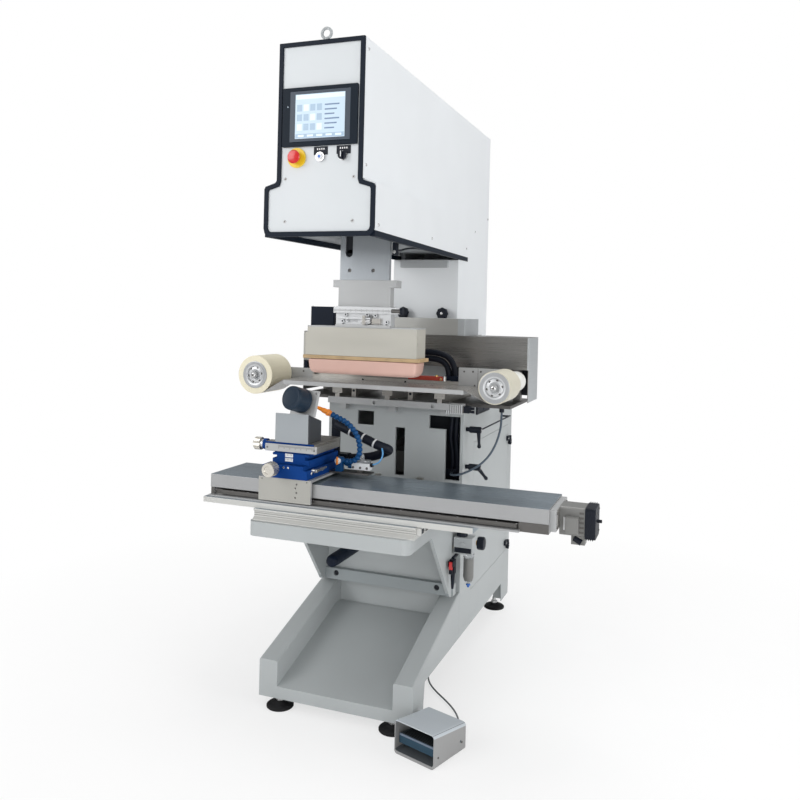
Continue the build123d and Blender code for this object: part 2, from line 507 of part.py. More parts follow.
sleeve_points = [(-112, 406, 916), (-30, 392, 888), (44, 386, 862), (78, 388, 850), (76, 426, 834),
                 (10, 440, 806), (-70, 440, 794)]
sleeve = bent_tube(sleeve_points, 16, 20)
post = block(-128, -98, 400, 412, 755, 940) + block(-128, -98, 392, 412, 755, 768)
post += block(-128, -70, 412, 452, 775, 812) - block(-72, -60, 400, 460, 770, 820)
nodes["cable_arm"] = [sleeve - post, post]

# Service unit
air_body = block(262, 332, 618, 668, 452, 512) - rod_z(8 + RUNNING_GAP, 500, 520, 288, 640)
air_body += block(238, 294, 666, PLATE_FRONT, 446, 486)
bowl = fillet(rod_z(17, 345, 452, 314, 640).edges().sort_by(Axis.Z)[0], 8) + rod_z(20, 438, 452, 314, 640)
gun = block(264, 284, 562, 584, 392, 446) + rod_z(6, 340, 394, 275, 574)
gun += block(264, 267, 546, 564, 424, 444) + block(281, 284, 546, 564, 424, 444)
gun += rod_x(2.5, 264, 284, 552, 436) + block(269, 279, 574, 664, 446, 451.9)
nodes["air_unit"] = [air_body, bowl, gun]
nodes["regulator_knob"] = [rod_z(20, 512.5, 545, 288, 640) + rod_z(8, 502, 513, 288, 640)]
trigger = block(267.5, 280.5, 548, 556, 398, 441) - rod_x(2.5 + RUNNING_GAP, 250, 290, 552, 436)
nodes["gun_trigger"] = [trigger]

# Right side
side_parts = [block(271, 277, 850, 1040, 925, 960) - block(275, 280, 858, 1032, 930, 955)]
side_rod = rod_y(3, 780, 1290, 305, 875) + rod_x(4, 271, 306, 800, 875) + rod_x(4, 271, 306, 1270, 875)
side_parts.append(side_rod)
door = block(268, 271, 836.5, 1403.5, 257.5, 820.5)
for hz in (752, 284):
    fixed = block(271, 281, 1415, 1446, hz - 20, hz - 0.5) + rod_z(6, hz - 20, hz - 0.5, 281, 1412)
    side_parts.append(fixed - rod_z(3 + RUNNING_GAP, hz - 30, hz + 30, 281, 1412))
    door += block(271, 281, 1374, 1402, hz + 0.5, hz + 20) + block(271.5, 281, 1400, 1409, hz + 0.5, hz + 20)
    door += rod_z(6, hz + 0.5, hz + 20, 281, 1412)
    door += rod_z(3, hz - 19, hz + 2, 281, 1412)
nodes["service_door"] = [door - rod_x(5 + RUNNING_GAP, 260, 280, 856, 432)]
door_knob = fillet(rod_x(25, 287, 318, 856, 432).edges().sort_by(Axis.X)[-1], 5)
nodes["door_knob"] = [door_knob + rod_x(8, 271.4, 287, 856, 432) + rod_x(5, 262, 272, 856, 432)
                      + rod_x(9, 262, 267.4, 856, 432)]


def clamp_lever(z, tip):
    hub = rod_x(12, 283, 329, 720, z) + rod_x(8, 271.4, 283, 720, z) + rod_x(5, 262, 272, 720, z)
    start = Vector(321, 720, z)
    end = Vector(*tip)
    line = Plane(origin=start, z_dir=end - start)
    length = (end - start).length
    return hub + line * Pos(0, 0, length / 2) * Cylinder(6, length) + Pos(*tip) * Sphere(7.5)


nodes["clamp_lever_upper"] = [clamp_lever(886, (323, 714, 826))]
nodes["clamp_lever_lower"] = [clamp_lever(748, (340, 760, 703))]

# Inside the stand
equipment = [block(-62, -58, 760, 1380, 131, 800)]
for z0, height in ((690, 80), (540, 110), (400, 100)):
    for y0, width in ((800, 160), (990, 110), (1130, 200)):
        equipment.append(block(-58, 10 if width > 150 else 30, y0, y0 + width, z0, z0 + height))
equipment.append(block(180, 262, 692, 760, 560, 640))
for hx, sway, radius in ((211, 5, 8), (230, 4, 9), (249, 3, 8)):
    points = [(hx, 745, 640), (hx, 745, 690), (hx + sway, 742, 770), (hx - sway, 738, 850), (hx, 740, 910),
              (hx, 740, 964)]
    equipment.append(bent_tube(points, radius, 90))
nodes["inner_equipment"] = equipment

# Foot switch
pedal_place = Pos(PEDAL_CORNER[0], PEDAL_CORNER[1], 0) * Rot(0, 0, PEDAL_TURN)


def long_edges_rounded(part, radius):
    return fillet([e for e in part.edges() if e.length > 130 and abs((e @ 1 - e @ 0).Y) > 130], radius)


guard = side_profile([(0, 0), (PEDAL_DEPTH, 0), (PEDAL_DEPTH, 82), (0, 100)], 0, PEDAL_WIDTH)
guard = long_edges_rounded(guard, 10)
cavity = side_profile([(-5, 9), (PEDAL_DEPTH - 3, 9), (PEDAL_DEPTH - 3, 79), (-5, 97.5)],
                      PEDAL_WALL, PEDAL_WIDTH - PEDAL_WALL)
guard -= long_edges_rounded(cavity, 7)
guard -= rod_x(4 + RUNNING_GAP, -5, 160, 132, 34)
guard += rod_y(6, PEDAL_DEPTH, PEDAL_DEPTH + 8, 74, 16)
nodes["pedal_guard"] = [pedal_place * guard]
treadle = side_profile([(14, 29), (14, 57), (120, 41), (140, 40), (140, 28), (120, 33), (20, 48), (20, 29)],
                       8, PEDAL_WIDTH - 8)
nodes["pedal_treadle"] = [pedal_place * (treadle + rod_x(4, 0.5, PEDAL_WIDTH - 0.5, 132, 34))]

PEDAL_ROUTE = [(375.12, 218.2, 16), (386.08, 250.01, 16), (389, 288, 6), (376, 343, 3), (345, 398, 3),
               (300, 450, 3), (250, 498, 3), (206, 550, 3), (180, 608, 5), (168, 660, 20),
               (166, 698, 56), (166, 706, 98), (166, 706, 110)]
SIDE_ROUTE = [(405, 712, 958), (405, 712, 922), (400, 706, 880), (388, 696, 838), (369, 682, 800),
              (340, 667, 768), (306, 658, 746), (277, 656, 732), (259, 656, 727), (242, 663, 723),
              (229, 676, 721), (222, 693, 720), (222, 710, 720)]
nodes["pedal_cord"] = [cord(PEDAL_ROUTE, 5.5, "pedal cord")]
nodes["side_cable"] = [cord(SIDE_ROUTE, 8, "side cable")]
cable_bracket = block(188, 234, 718, 722, 706, 734) + block(188, 198, 692, 722, 706, 734)
side_parts += [rod_z(9, 110, CABINET_FLOOR, 166, 706), rod_z(9, 958, 972, 405, 712),
               rod_y(10, 710, 722, 222, 720) + cable_bracket]
nodes["panel_fittings"] = side_parts

CORDS = ("pedal_cord", "side_cable")
everything = [solid for name, solids in nodes.items() if name not in CORDS for solid in solids]
whole = Compound(children=everything).bounding_box()
shift = Pos(-(whole.min.X + whole.max.X) / 2, -(whole.min.Y + whole.max.Y) / 2, -whole.min.Z)
print("shift", shift.position, "size", whole.size)
for name, solids in nodes.items():
    moved = []
    for solid in solids:
        count = len(solid.solids())
        if count != 1:
            print("not one solid:", name, count)
        moved += [shift * piece for piece in solid.solids()]
    shape = moved[0] if len(moved) == 1 else Compound(children=moved)
    export_step(shape, f"parts/{name}.step")
print("nodes", len(nodes))
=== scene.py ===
"""Draws the pad printing machine on its packed frame. Lengths in the drawing code are
millimetres in the machine's own frame: X to the right, Y back from the head's front, Z up."""

from math import atan2, cos, pi, radians, sin

import bmesh
import bpy
from mathutils import Matrix, Vector


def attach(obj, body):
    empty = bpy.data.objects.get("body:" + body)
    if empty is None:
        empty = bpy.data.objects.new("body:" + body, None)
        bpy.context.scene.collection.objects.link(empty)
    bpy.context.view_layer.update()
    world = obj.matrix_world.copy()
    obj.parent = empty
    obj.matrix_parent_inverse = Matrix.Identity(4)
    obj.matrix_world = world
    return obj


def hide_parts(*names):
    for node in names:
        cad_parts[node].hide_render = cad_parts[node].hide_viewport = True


bl_info = {
    "name": "Pad printing machine",
    "version": (1, 0, 0),
    "blender": (4, 5, 0),
    "location": "3D View > Sidebar > Machine",
    "description": "Builds the visual model of the pad printing machine and its studio",
    "category": "Object",
}

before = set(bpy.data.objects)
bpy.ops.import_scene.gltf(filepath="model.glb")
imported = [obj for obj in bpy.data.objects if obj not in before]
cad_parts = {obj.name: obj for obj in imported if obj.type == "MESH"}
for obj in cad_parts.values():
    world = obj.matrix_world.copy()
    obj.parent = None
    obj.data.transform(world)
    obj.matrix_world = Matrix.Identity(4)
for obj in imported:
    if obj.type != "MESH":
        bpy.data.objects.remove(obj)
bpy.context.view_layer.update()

FRONT, BACK = (0, -1, 0), (0, 1, 0)
LEFT, RIGHT = (-1, 0, 0), (1, 0, 0)
UP, DOWN = (0, 0, 1), (0, 0, -1)
ORIGIN = Vector((150.5, 722.5, 0))
TO_FRAME = Matrix.Scale(0.001, 4) @ Matrix.Translation(-ORIGIN)
FROM_FRAME = TO_FRAME.inverted()
FINISHES = {}

# Finishing
NOISE_LOW, NOISE_HIGH = 0.3, 0.7
GLOSS_SPREAD, RELIEF_DEPTH, COAT_ROUGHNESS = 0.08, 0.0003, 0.12
MERGE_DISTANCE, FLAT_ANGLE, SHARP_ANGLE = 0.0015, radians(0.3), radians(30)
NORMAL_WEIGHT = 80

# Places in the machine, in millimetres
BUTTON_Z = 1772
COLUMN_KNOB_X, COLUMN_KNOB_Z = 85, 1312
LEVER_X, LEVER_Y = 287, 720
ROLL_X, ROLL_FRONT, ROLL_Z, ROLL_LENGTH = 449, 415, 1072, 152
CONDUIT_X, CONDUIT_Y, CONDUIT_Z = 151, 632, 1072
SCALE_Z = 1316
GRIP_X, GRIP_Z = -60, 476
CROSS_KNOB_X, CROSS_KNOB_Z = -192, 804
TOP_KNOB_Y, TOP_KNOB_Z = 172, 869
PEDAL_PLACE = Matrix.Translation((251, 85, 0)) @ Matrix.Rotation(radians(-19), 4, "Z")

# Camera, lamps and floor. The camera's place is in the machine's millimetres, the rest in metres
CAMERA_AT = (1093.4, -2195.5, 1314.1)
CAMERA_ROLL, CAMERA_YAW, CAMERA_SHIFT = -0.0238, 0.3595, -0.11
LENS, SENSOR, FAR = 36.675, 36, 60
LAMPS = (("key", (-3.9, -5.4, 3.3), 150.0, 3.4), ("front", (2.6, -6.2, 1.1), 100.0, 3.2),
         ("top", (0.2, 0.4, 4.8), 76.0, 2.8), ("right", (5.2, -0.7, 2.0), 92.0, 2.8))
LAMP_TARGET = (0, 0, 1.1)
SKY_LEVEL, SKY_LOW = 0.62, (0.40, 0.41, 0.42, 1)
FLOOR_HALF, FLOOR_DROP = 25, -0.0005
FADE_START, FADE_END, SHADOW_SHARE = 0.8, 2.2, 0.65


def framed(x, y, z):
    return TO_FRAME @ Vector((x, y, z))


# Materials
def new_group(name, inputs, output, kind):
    group = bpy.data.node_groups.new(name, "ShaderNodeTree")
    for label, socket in inputs:
        group.interface.new_socket(label, in_out="INPUT", socket_type=socket)
    group.interface.new_socket(output, in_out="OUTPUT", socket_type=kind)
    return group, group.nodes.new("NodeGroupInput"), group.nodes.new("NodeGroupOutput")


def add_node(tree, kind, **values):
    """A shader node with its input values. An underscore in a value's name stands for a space."""
    node = tree.nodes.new("ShaderNode" + kind)
    for label, value in values.items():
        node.inputs[label.replace("_", " ")].default_value = value
    return node


def add_group(tree, name, **values):
    node = tree.nodes.new("ShaderNodeGroup")
    node.node_tree = bpy.data.node_groups[name]
    for label, value in values.items():
        node.inputs[label].default_value = value
    return node


def colour_mix(tree):
    mix = tree.nodes.new("ShaderNodeMix")
    mix.data_type = "RGBA"
    return mix


def vector_step(tree, operation):
    step = tree.nodes.new("ShaderNodeVectorMath")
    step.operation = operation
    return step


def number_step(tree, operation):
    step = tree.nodes.new("ShaderNodeMath")
    step.operation = operation
    return step


def join(tree, *links):
    """Links sockets. Each link is (node, output, node, input)."""
    for start, output, end, socket in links:
        tree.links.new(start.outputs[output], end.inputs[socket])


def stretched_noise(tree, start, detail):
    """Noise over the object's own coordinates, stretched by the group's Stretch input."""
    place = tree.nodes.new("ShaderNodeTexCoord")
    scale = vector_step(tree, "MULTIPLY")
    noise = add_node(tree, "TexNoise", Scale=1.0, Detail=detail)
    join(tree, (place, "Object", scale, 0), (start, "Stretch", scale, 1), (scale, 0, noise, "Vector"))
    return noise


def grain_group():
    group, start, end = new_group("surface_grain", [("Stretch", "NodeSocketVector")],
                                  "Height", "NodeSocketFloat")
    join(group, (stretched_noise(group, start, 3.0), "Fac", end, "Height"))


def tone_group():
    """Colour between a darker and a lighter tone in soft patches."""
    inputs = [("Dark", "NodeSocketColor"), ("Light", "NodeSocketColor"), ("Stretch", "NodeSocketVector")]
    group, start, end = new_group("surface_tone", inputs, "Colour", "NodeSocketColor")
    noise = stretched_noise(group, start, 2.0)
    spread = add_node(group, "MapRange", From_Min=NOISE_LOW, From_Max=NOISE_HIGH)
    mix = colour_mix(group)
    join(group, (noise, "Fac", spread, "Value"), (spread, "Result", mix, "Factor"),
         (start, "Dark", mix, "A"), (start, "Light", mix, "B"), (mix, "Result", end, "Colour"))


def shaded(colour, factor, limit=1.0):
    """The colour made darker or lighter, with its alpha."""
    return (*[min(part * factor, limit) for part in colour], 1)


def repeats(value):
    """Repeats per metre on the three axes."""
    return value if isinstance(value, tuple) else (value,) * 3


def finish(name, colour, roughness, metallic=0.0, grain=900.0, bump=0.05, drift=0.05, patches=4.0,
           coat=0.0, gloss=0.5):
    """A painted, brushed, moulded or rubber surface. grain and patches are repeats per metre, or a
    vector of them for a surface brushed one way."""
    material = bpy.data.materials.new(name)
    material.use_nodes = True
    tree = material.node_tree
    shader = tree.nodes["Principled BSDF"]
    shader.inputs["Metallic"].default_value = metallic
    shader.inputs["Coat Weight"].default_value = coat
    shader.inputs["Coat Roughness"].default_value = COAT_ROUGHNESS
    shader.inputs["Specular IOR Level"].default_value = gloss
    tone = add_group(tree, "surface_tone", Dark=shaded(colour, 1 - drift),
                     Light=shaded(colour, 1 + drift, 0.97), Stretch=repeats(patches))
    grit = add_group(tree, "surface_grain", Stretch=repeats(grain))
    rough = add_node(tree, "MapRange", From_Min=NOISE_LOW, From_Max=NOISE_HIGH,
                     To_Min=max(roughness - GLOSS_SPREAD, 0.03),
                     To_Max=min(roughness + GLOSS_SPREAD, 1.0))
    relief = add_node(tree, "Bump", Strength=bump, Distance=RELIEF_DEPTH)
    join(tree, (tone, "Colour", shader, "Base Color"), (grit, "Height", rough, "Value"),
         (rough, "Result", shader, "Roughness"), (grit, "Height", relief, "Height"),
         (relief, "Normal", shader, "Normal"))
    FINISHES[name] = material
    return material


def wound_tape(name, colour, centre):
    """Tape layers seen as fine rings round the roll's axis."""
    material = finish(name, colour, 0.42, grain=(60.0, 2500.0, 60.0), bump=0.1)
    tree = material.node_tree
    place = tree.nodes.new("ShaderNodeTexCoord")
    flat = add_node(tree, "Mapping", Location=(-centre.x, 0, -centre.z), Scale=(1, 0, 1))
    length = vector_step(tree, "LENGTH")
    layers = tree.nodes.new("ShaderNodeTexNoise")
    layers.noise_dimensions = "1D"
    layers.inputs["Scale"].default_value = 1500.0
    layers.inputs["Detail"].default_value = 4.0
    mix = colour_mix(tree)
    mix.inputs["A"].default_value = shaded(colour, 0.80)
    mix.inputs["B"].default_value = shaded(colour, 1.08, 0.95)
    join(tree, (place, "Object", flat, "Vector"), (flat, "Vector", length, 0),
         (length, "Value", layers, "W"), (layers, "Fac", mix, "Factor"),
         (mix, "Result", tree.nodes["Principled BSDF"], "Base Color"))


def clear_plastic(name, colour):
    shader = finish(name, colour, 0.1, bump=0.02).node_tree.nodes["Principled BSDF"]
    shader.inputs["Transmission Weight"].default_value = 0.75
    shader.inputs["IOR"].default_value = 1.45


def lit_screen(name, colour, level):
    shader = finish(name, colour, 0.2, bump=0.01, drift=0.02).node_tree.nodes["Principled BSDF"]
    shader.inputs["Emission Color"].default_value = (*colour, 1)
    shader.inputs["Emission Strength"].default_value = level


def make_finishes():
    grain_group()
    tone_group()
    finish("stand_paint", (0.42, 0.445, 0.45), 0.42, bump=0.10, grain=700.0, drift=0.025)
    finish("head_paint", (0.79, 0.815, 0.835), 0.38, bump=0.06, grain=800.0, drift=0.015)
    finish("panel_paint", (0.64, 0.67, 0.69), 0.38, bump=0.06, grain=800.0, drift=0.015)
    finish("frame_paint", (0.30, 0.32, 0.34), 0.45, bump=0.08)
    finish("trim_paint", (0.006, 0.011, 0.021), 0.45, bump=0.08, grain=500.0, gloss=0.15)
    finish("aluminium", (0.60, 0.61, 0.62), 0.36, 0.55, grain=(12.0, 900.0, 900.0), bump=0.12)
    finish("pale_aluminium", (0.43, 0.437, 0.44), 0.40, 0.25, grain=(14.0, 700.0, 700.0), bump=0.08)
    finish("plate_aluminium", (0.36, 0.385, 0.41), 0.38, 0.5, grain=(700.0, 700.0, 14.0), bump=0.12)
    finish("cover_metal", (0.23, 0.28, 0.325), 0.30, 0.65, grain=(6.0, 650.0, 650.0), bump=0.10,
           patches=(1.2, 9.0, 9.0), drift=0.12)
    finish("beam_metal", (0.375, 0.38, 0.385), 0.36, 0.35, grain=(5.0, 800.0, 800.0), bump=0.10)
    finish("cream_block", (0.475, 0.46, 0.41), 0.44, 0.15, grain=(10.0, 800.0, 900.0), bump=0.10,
           patches=(3.0, 3.0, 14.0), drift=0.05)
    finish("cream_paint", (0.385, 0.38, 0.35), 0.45, bump=0.08)
    finish("tan_board", (0.45, 0.315, 0.17), 0.55, grain=(90.0, 90.0, 1800.0), bump=0.2, drift=0.12,
           patches=25.0)
    finish("pink_silicone", (0.66, 0.425, 0.36), 0.38, grain=260.0, bump=0.06, drift=0.05, patches=7.0)
    finish("stainless", (0.26, 0.255, 0.245), 0.31, 0.85, grain=(7.0, 1100.0, 1100.0), bump=0.12,
           patches=(2.4, 6.0, 6.0), drift=0.22)
    finish("stainless_cover", (0.50, 0.50, 0.48), 0.36, 0.55, grain=(7.0, 1100.0, 1100.0), bump=0.12,
           patches=(2.4, 6.0, 6.0), drift=0.15)
    finish("stainless_end", (0.52, 0.545, 0.56), 0.36, 0.5, grain=(900.0, 9.0, 900.0), bump=0.1)
    finish("ground_steel", (0.40, 0.385, 0.36), 0.33, 0.8, grain=(10.0, 900.0, 900.0), bump=0.12,
           drift=0.1, patches=(3.0, 9.0, 9.0))
    finish("dark_steel", (0.13, 0.125, 0.12), 0.40, 0.7, grain=500.0, bump=0.12)
    finish("bright_steel", (0.62, 0.62, 0.62), 0.26, 0.9, grain=600.0, bump=0.06)
    finish("chrome_knob", (0.66, 0.63, 0.57), 0.24, 0.9, grain=500.0, bump=0.06)
    finish("hub_silver", (0.42, 0.43, 0.44), 0.34, 0.5, grain=700.0, bump=0.08)
    finish("brass", (0.68, 0.48, 0.20), 0.28, 0.9, grain=700.0, bump=0.06)
    finish("motor_paint", (0.20, 0.20, 0.193), 0.40, 0.2, bump=0.1)
    finish("blue_paint", (0.004, 0.042, 0.20), 0.5, grain=350.0, bump=0.12, drift=0.10,
           patches=12.0, gloss=0.08)
    finish("hose_blue", (0.004, 0.065, 0.20), 0.38, grain=900.0, bump=0.08, gloss=0.25)
    finish("tube_blue", (0.10, 0.34, 0.66), 0.25, bump=0.03)
    finish("dark_plastic", (0.009, 0.012, 0.020), 0.44, grain=1500.0, bump=0.14, gloss=0.2)
    finish("navy_plastic", (0.005, 0.010, 0.022), 0.42, grain=1100.0, bump=0.12, gloss=0.15)
    finish("cap_plastic", (0.014, 0.027, 0.046), 0.36, grain=700.0, bump=0.08, gloss=0.2)
    finish("bezel_plastic", (0.006, 0.012, 0.021), 0.40, grain=1300.0, bump=0.1, gloss=0.12)
    finish("bezel_inner", (0.014, 0.03, 0.055), 0.36, grain=1300.0, bump=0.06)
    finish("orange_plastic", (0.90, 0.27, 0.02), 0.34, bump=0.06)
    finish("red_plastic", (0.62, 0.012, 0.014), 0.26, bump=0.04, coat=0.3)
    finish("red_plate", (0.45, 0.055, 0.035), 0.38, 0.2, bump=0.08)
    finish("yellow_plastic", (0.86, 0.60, 0.02), 0.34, bump=0.05)
    finish("white_plastic", (0.80, 0.81, 0.82), 0.30, bump=0.05)
    finish("pointer_white", (0.88, 0.88, 0.88), 0.4, bump=0.02)
    finish("button_blue", (0.03, 0.14, 0.50), 0.28, bump=0.03)
    finish("cable_grey", (0.17, 0.18, 0.19), 0.5, grain=1200.0, bump=0.12)
    finish("conduit_black", (0.006, 0.008, 0.014), 0.5, grain=1200.0, bump=0.12, gloss=0.15)
    finish("cable_blue", (0.075, 0.10, 0.13), 0.46, grain=1200.0, bump=0.12, gloss=0.3)
    finish("cable_dark", (0.010, 0.013, 0.022), 0.46, grain=1200.0, bump=0.12, gloss=0.2)
    finish("black_rubber", (0.010, 0.010, 0.011), 0.6, grain=1400.0, bump=0.2, gloss=0.25)
    finish("treadle_paint", (0.15, 0.19, 0.25), 0.45, 0.2, grain=900.0, bump=0.2)
    # Painted light and shade on the foot switch guard: one paint in a darker copy for its sides, a lighter
    # one for its top and a near-black one inside
    finish("guard_side_shade", (0.30, 0.30, 0.30), 0.42, bump=0.16, grain=520.0)
    # Near black: painted shade on the hood's rear panels, a slot on the slide plate and a sheet behind the
    # inner equipment; also the real black plugs in the knee's crossbar
    finish("shade_and_plug_black", (0.016, 0.018, 0.024), 0.6, bump=0.1, gloss=0.3)
    # Painted shade: a near-black copy of the fixture metal for the fixture block's faces right of x -94
    finish("fixture_side_shade", (0.06, 0.065, 0.072), 0.42, 0.3, grain=600.0, bump=0.12)
    finish("bracket_brown", (0.10, 0.088, 0.075), 0.45, 0.4, grain=500.0, bump=0.12)
    # Painted light: a lighter copy of the beam metal for the beam's front and lower faces, which lie in
    # shade
    finish("beam_front_light", (0.57, 0.57, 0.55), 0.36, 0.3, grain=(5.0, 800.0, 800.0), bump=0.10)
    finish("fixture_metal", (0.33, 0.355, 0.375), 0.36, 0.3, grain=(300.0, 300.0, 900.0), bump=0.08)
    # Painted shade: a darker copy of the stand paint for front faces in shadow, on the stand's front plate
    # and the knee's crossbar
    finish("stand_front_shade", (0.30, 0.33, 0.34), 0.42, bump=0.10, grain=700.0, drift=0.025)
    finish("guard_top_light", (0.50, 0.54, 0.575), 0.42, bump=0.16, grain=520.0)
    finish("guard_inner_shade", (0.10, 0.112, 0.122), 0.5, bump=0.16, grain=520.0)
    # Painted shade: darker copies of the treadle paint for its top and its front skirt, which lie in shade
    # inside the guard
    finish("treadle_top_shade", (0.06, 0.082, 0.094), 0.5, bump=0.2, grain=700.0)
    finish("treadle_skirt_shade", (0.018, 0.052, 0.085), 0.45, bump=0.1, gloss=0.3)
    finish("cast_grey", (0.42, 0.44, 0.45), 0.5, 0.2, grain=600.0, bump=0.14)
    # Painted shade: a mid grey for the band low on the head's front, which lies in shadow under the head
    finish("head_band_shade_grey", (0.45, 0.47, 0.485), 0.42, bump=0.07)
    finish("roll_motor_white", (0.80, 0.80, 0.76), 0.40, bump=0.05)
    finish("tape_web", (0.25, 0.24, 0.225), 0.30, 0.1, grain=(30.0, 900.0, 900.0), bump=0.06, coat=0.2)
    # Painted light: the left roll's tape is much lighter than the right roll's, to brighten the left roll,
    # which lies in shade
    wound_tape("tape_left", (0.88, 0.82, 0.63), framed(-ROLL_X, 0, ROLL_Z))
    wound_tape("tape_right", (0.64, 0.61, 0.50), framed(ROLL_X, 0, ROLL_Z))
    clear_plastic("clear_plastic", (0.75, 0.78, 0.80))
    lit_screen("screen_light", (0.45, 0.57, 0.68), 0.22)
    lit_screen("screen_pale", (0.62, 0.73, 0.84), 0.24)
    lit_screen("screen_grey", (0.30, 0.42, 0.55), 0.16)
    lit_screen("screen_dark", (0.09, 0.16, 0.30), 0.12)


# Solids, each a bmesh in machine millimetres
def corner_box(x0, x1, y0, y1, z0, z1):
    solid = bmesh.new()
    centre = Matrix.Translation(((x0 + x1) / 2, (y0 + y1) / 2, (z0 + z1) / 2))
    size = Matrix.Diagonal((x1 - x0, y1 - y0, z1 - z0, 1))
    bmesh.ops.create_cube(solid, size=1, matrix=centre @ size)
    return solid


def aim(solid, base, direction):
    """Turns a solid built along +Z so that it starts at base and points along direction."""
    turn = Vector(direction).to_track_quat("Z", "Y").to_matrix().to_4x4()
    solid.transform(Matrix.Translation(Vector(base)) @ turn)
    return solid


def rod(base, direction, radius, length, sides=28):
    solid = bmesh.new()
    bmesh.ops.create_cone(solid, cap_ends=True, segments=sides, radius1=radius, radius2=radius,
                          depth=length, matrix=Matrix.Translation((0, 0, length / 2)))
    return aim(solid, base, direction)


def turned(profile, base, direction, steps=36, flutes=0, flute_depth=0.0, flute_from=0.0):
    """A shape of revolution. profile holds (radius, height) pairs. Flutes are cut where the
    radius is larger than flute_from."""
    solid = bmesh.new()
    steps = flutes * 4 if flutes else steps
    verts = [solid.verts.new((radius, 0, height)) for radius, height in profile]
    edges = [solid.edges.new(pair) for pair in zip(verts, verts[1:])]
    bmesh.ops.spin(solid, geom=verts + edges, cent=(0, 0, 0), axis=UP, angle=2 * pi,
                   steps=steps, use_merge=True)
    bmesh.ops.remove_doubles(solid, verts=solid.verts, dist=0.001)
    if flutes:
        for vert in solid.verts:
            radius = vert.co.xy.length
            if radius > flute_from:
                wave = 0.5 - 0.5 * cos(flutes * atan2(vert.co.y, vert.co.x))
                vert.co.xy *= 1 - flute_depth * wave / radius
    bmesh.ops.recalc_face_normals(solid, faces=solid.faces)
    return aim(solid, base, direction)


def prism(points, axis, low, high):
    """An outline pushed along an axis. Points are (Y, Z) for axis X, (X, Z) for Y, (X, Y) for Z."""
    solid = bmesh.new()
    index = "XYZ".index(axis)
    verts = []
    for a, b in points:
        spot = [a, b]
        spot.insert(index, low)
        verts.append(solid.verts.new(spot))
    face = solid.faces.new(verts)
    grown = bmesh.ops.extrude_face_region(solid, geom=[face])["geom"]
    push = Vector((0, 0, 0))
    push[index] = high - low
    bmesh.ops.translate(solid, vec=push, verts=[g for g in grown if isinstance(g, bmesh.types.BMVert)])
    bmesh.ops.recalc_face_normals(solid, faces=solid.faces)
    return solid


def spline(points, name="route"):
    data = bpy.data.curves.new(name, "CURVE")
    data.dimensions = "3D"
    line = data.splines.new("NURBS")
    line.points.add(len(points) - 1)
    for spot, point in zip(line.points, points):
        spot.co = (*point, 1)
    line.order_u = 3
    line.use_endpoint_u = True
    line.resolution_u = 12
    return data


def samples(points, gap):
    """Places at even distances along the smooth line of the points, each with its direction."""
    holder = bpy.data.objects.new("route", spline(points))
    mesh = bpy.data.meshes.new_from_object(holder)
    line = [v.co.copy() for v in mesh.vertices]
    bpy.data.meshes.remove(mesh)
    bpy.data.objects.remove(holder)
    total = sum((b - a).length for a, b in zip(line, line[1:]))
    count = max(2, round(total / gap))
    places, walked, target = [], 0.0, 0.0
    for a, b in zip(line, line[1:]):
        step = (b - a).length
        while target <= walked + step + 1e-6 and len(places) <= count:
            places.append((a.lerp(b, (target - walked) / step), (b - a).normalized()))
            target += total / count
        walked += step
    return places


def hose(points, radius, sides=12, ribs=0.0, gap=4.0):
    """A tube along the smooth line of the points. Ribs swell every other ring."""
    solid = bmesh.new()
    rings = []
    up = None
    for number, (spot, direction) in enumerate(samples(points, gap)):
        side = direction.cross(up or Vector((0.31, 0.2, 0.93))).normalized()
        up = side.cross(direction).normalized()
        reach = radius + (ribs if number % 2 else -ribs)
        rings.append([solid.verts.new(spot + reach * (cos(t) * side + sin(t) * up))
                      for t in (2 * pi * k / sides for k in range(sides))])
    for low, high in zip(rings, rings[1:]):
        for k in range(sides):
            solid.faces.new((low[k], low[(k + 1) % sides], high[(k + 1) % sides], high[k]))
    solid.faces.new(rings[0])
    solid.faces.new(rings[-1])
    bmesh.ops.recalc_face_normals(solid, faces=solid.faces)
    return solid


def islands(solid):
    """The separate closed bodies of a mesh, as lists of faces."""
    seen, found = set(), []
    for first in solid.faces:
        if first in seen:
            continue
        seen.add(first)
        group, queue = [], [first]
        while queue:
            face = queue.pop()
            group.append(face)
            for edge in face.edges:
                for other in edge.link_faces:
                    if other not in seen:
                        seen.add(other)
                        queue.append(other)
        found.append(group)
    return found


def soften(solid, faces, width):
    """Bevels the sharp edges of the faces, always in the same order."""
    solid.edges.index_update()
    edges = sorted({e for f in faces for e in f.edges}, key=lambda e: e.index)
    sharp = [e for e in edges if len(e.link_faces) == 2 and e.calc_face_angle(0) > SHARP_ANGLE]
    if sharp and width:
        bmesh.ops.bevel(solid, geom=sharp, offset=width, segments=2, profile=0.5, affect="EDGES",
                        clamp_overlap=True, loop_slide=False, material=-1)


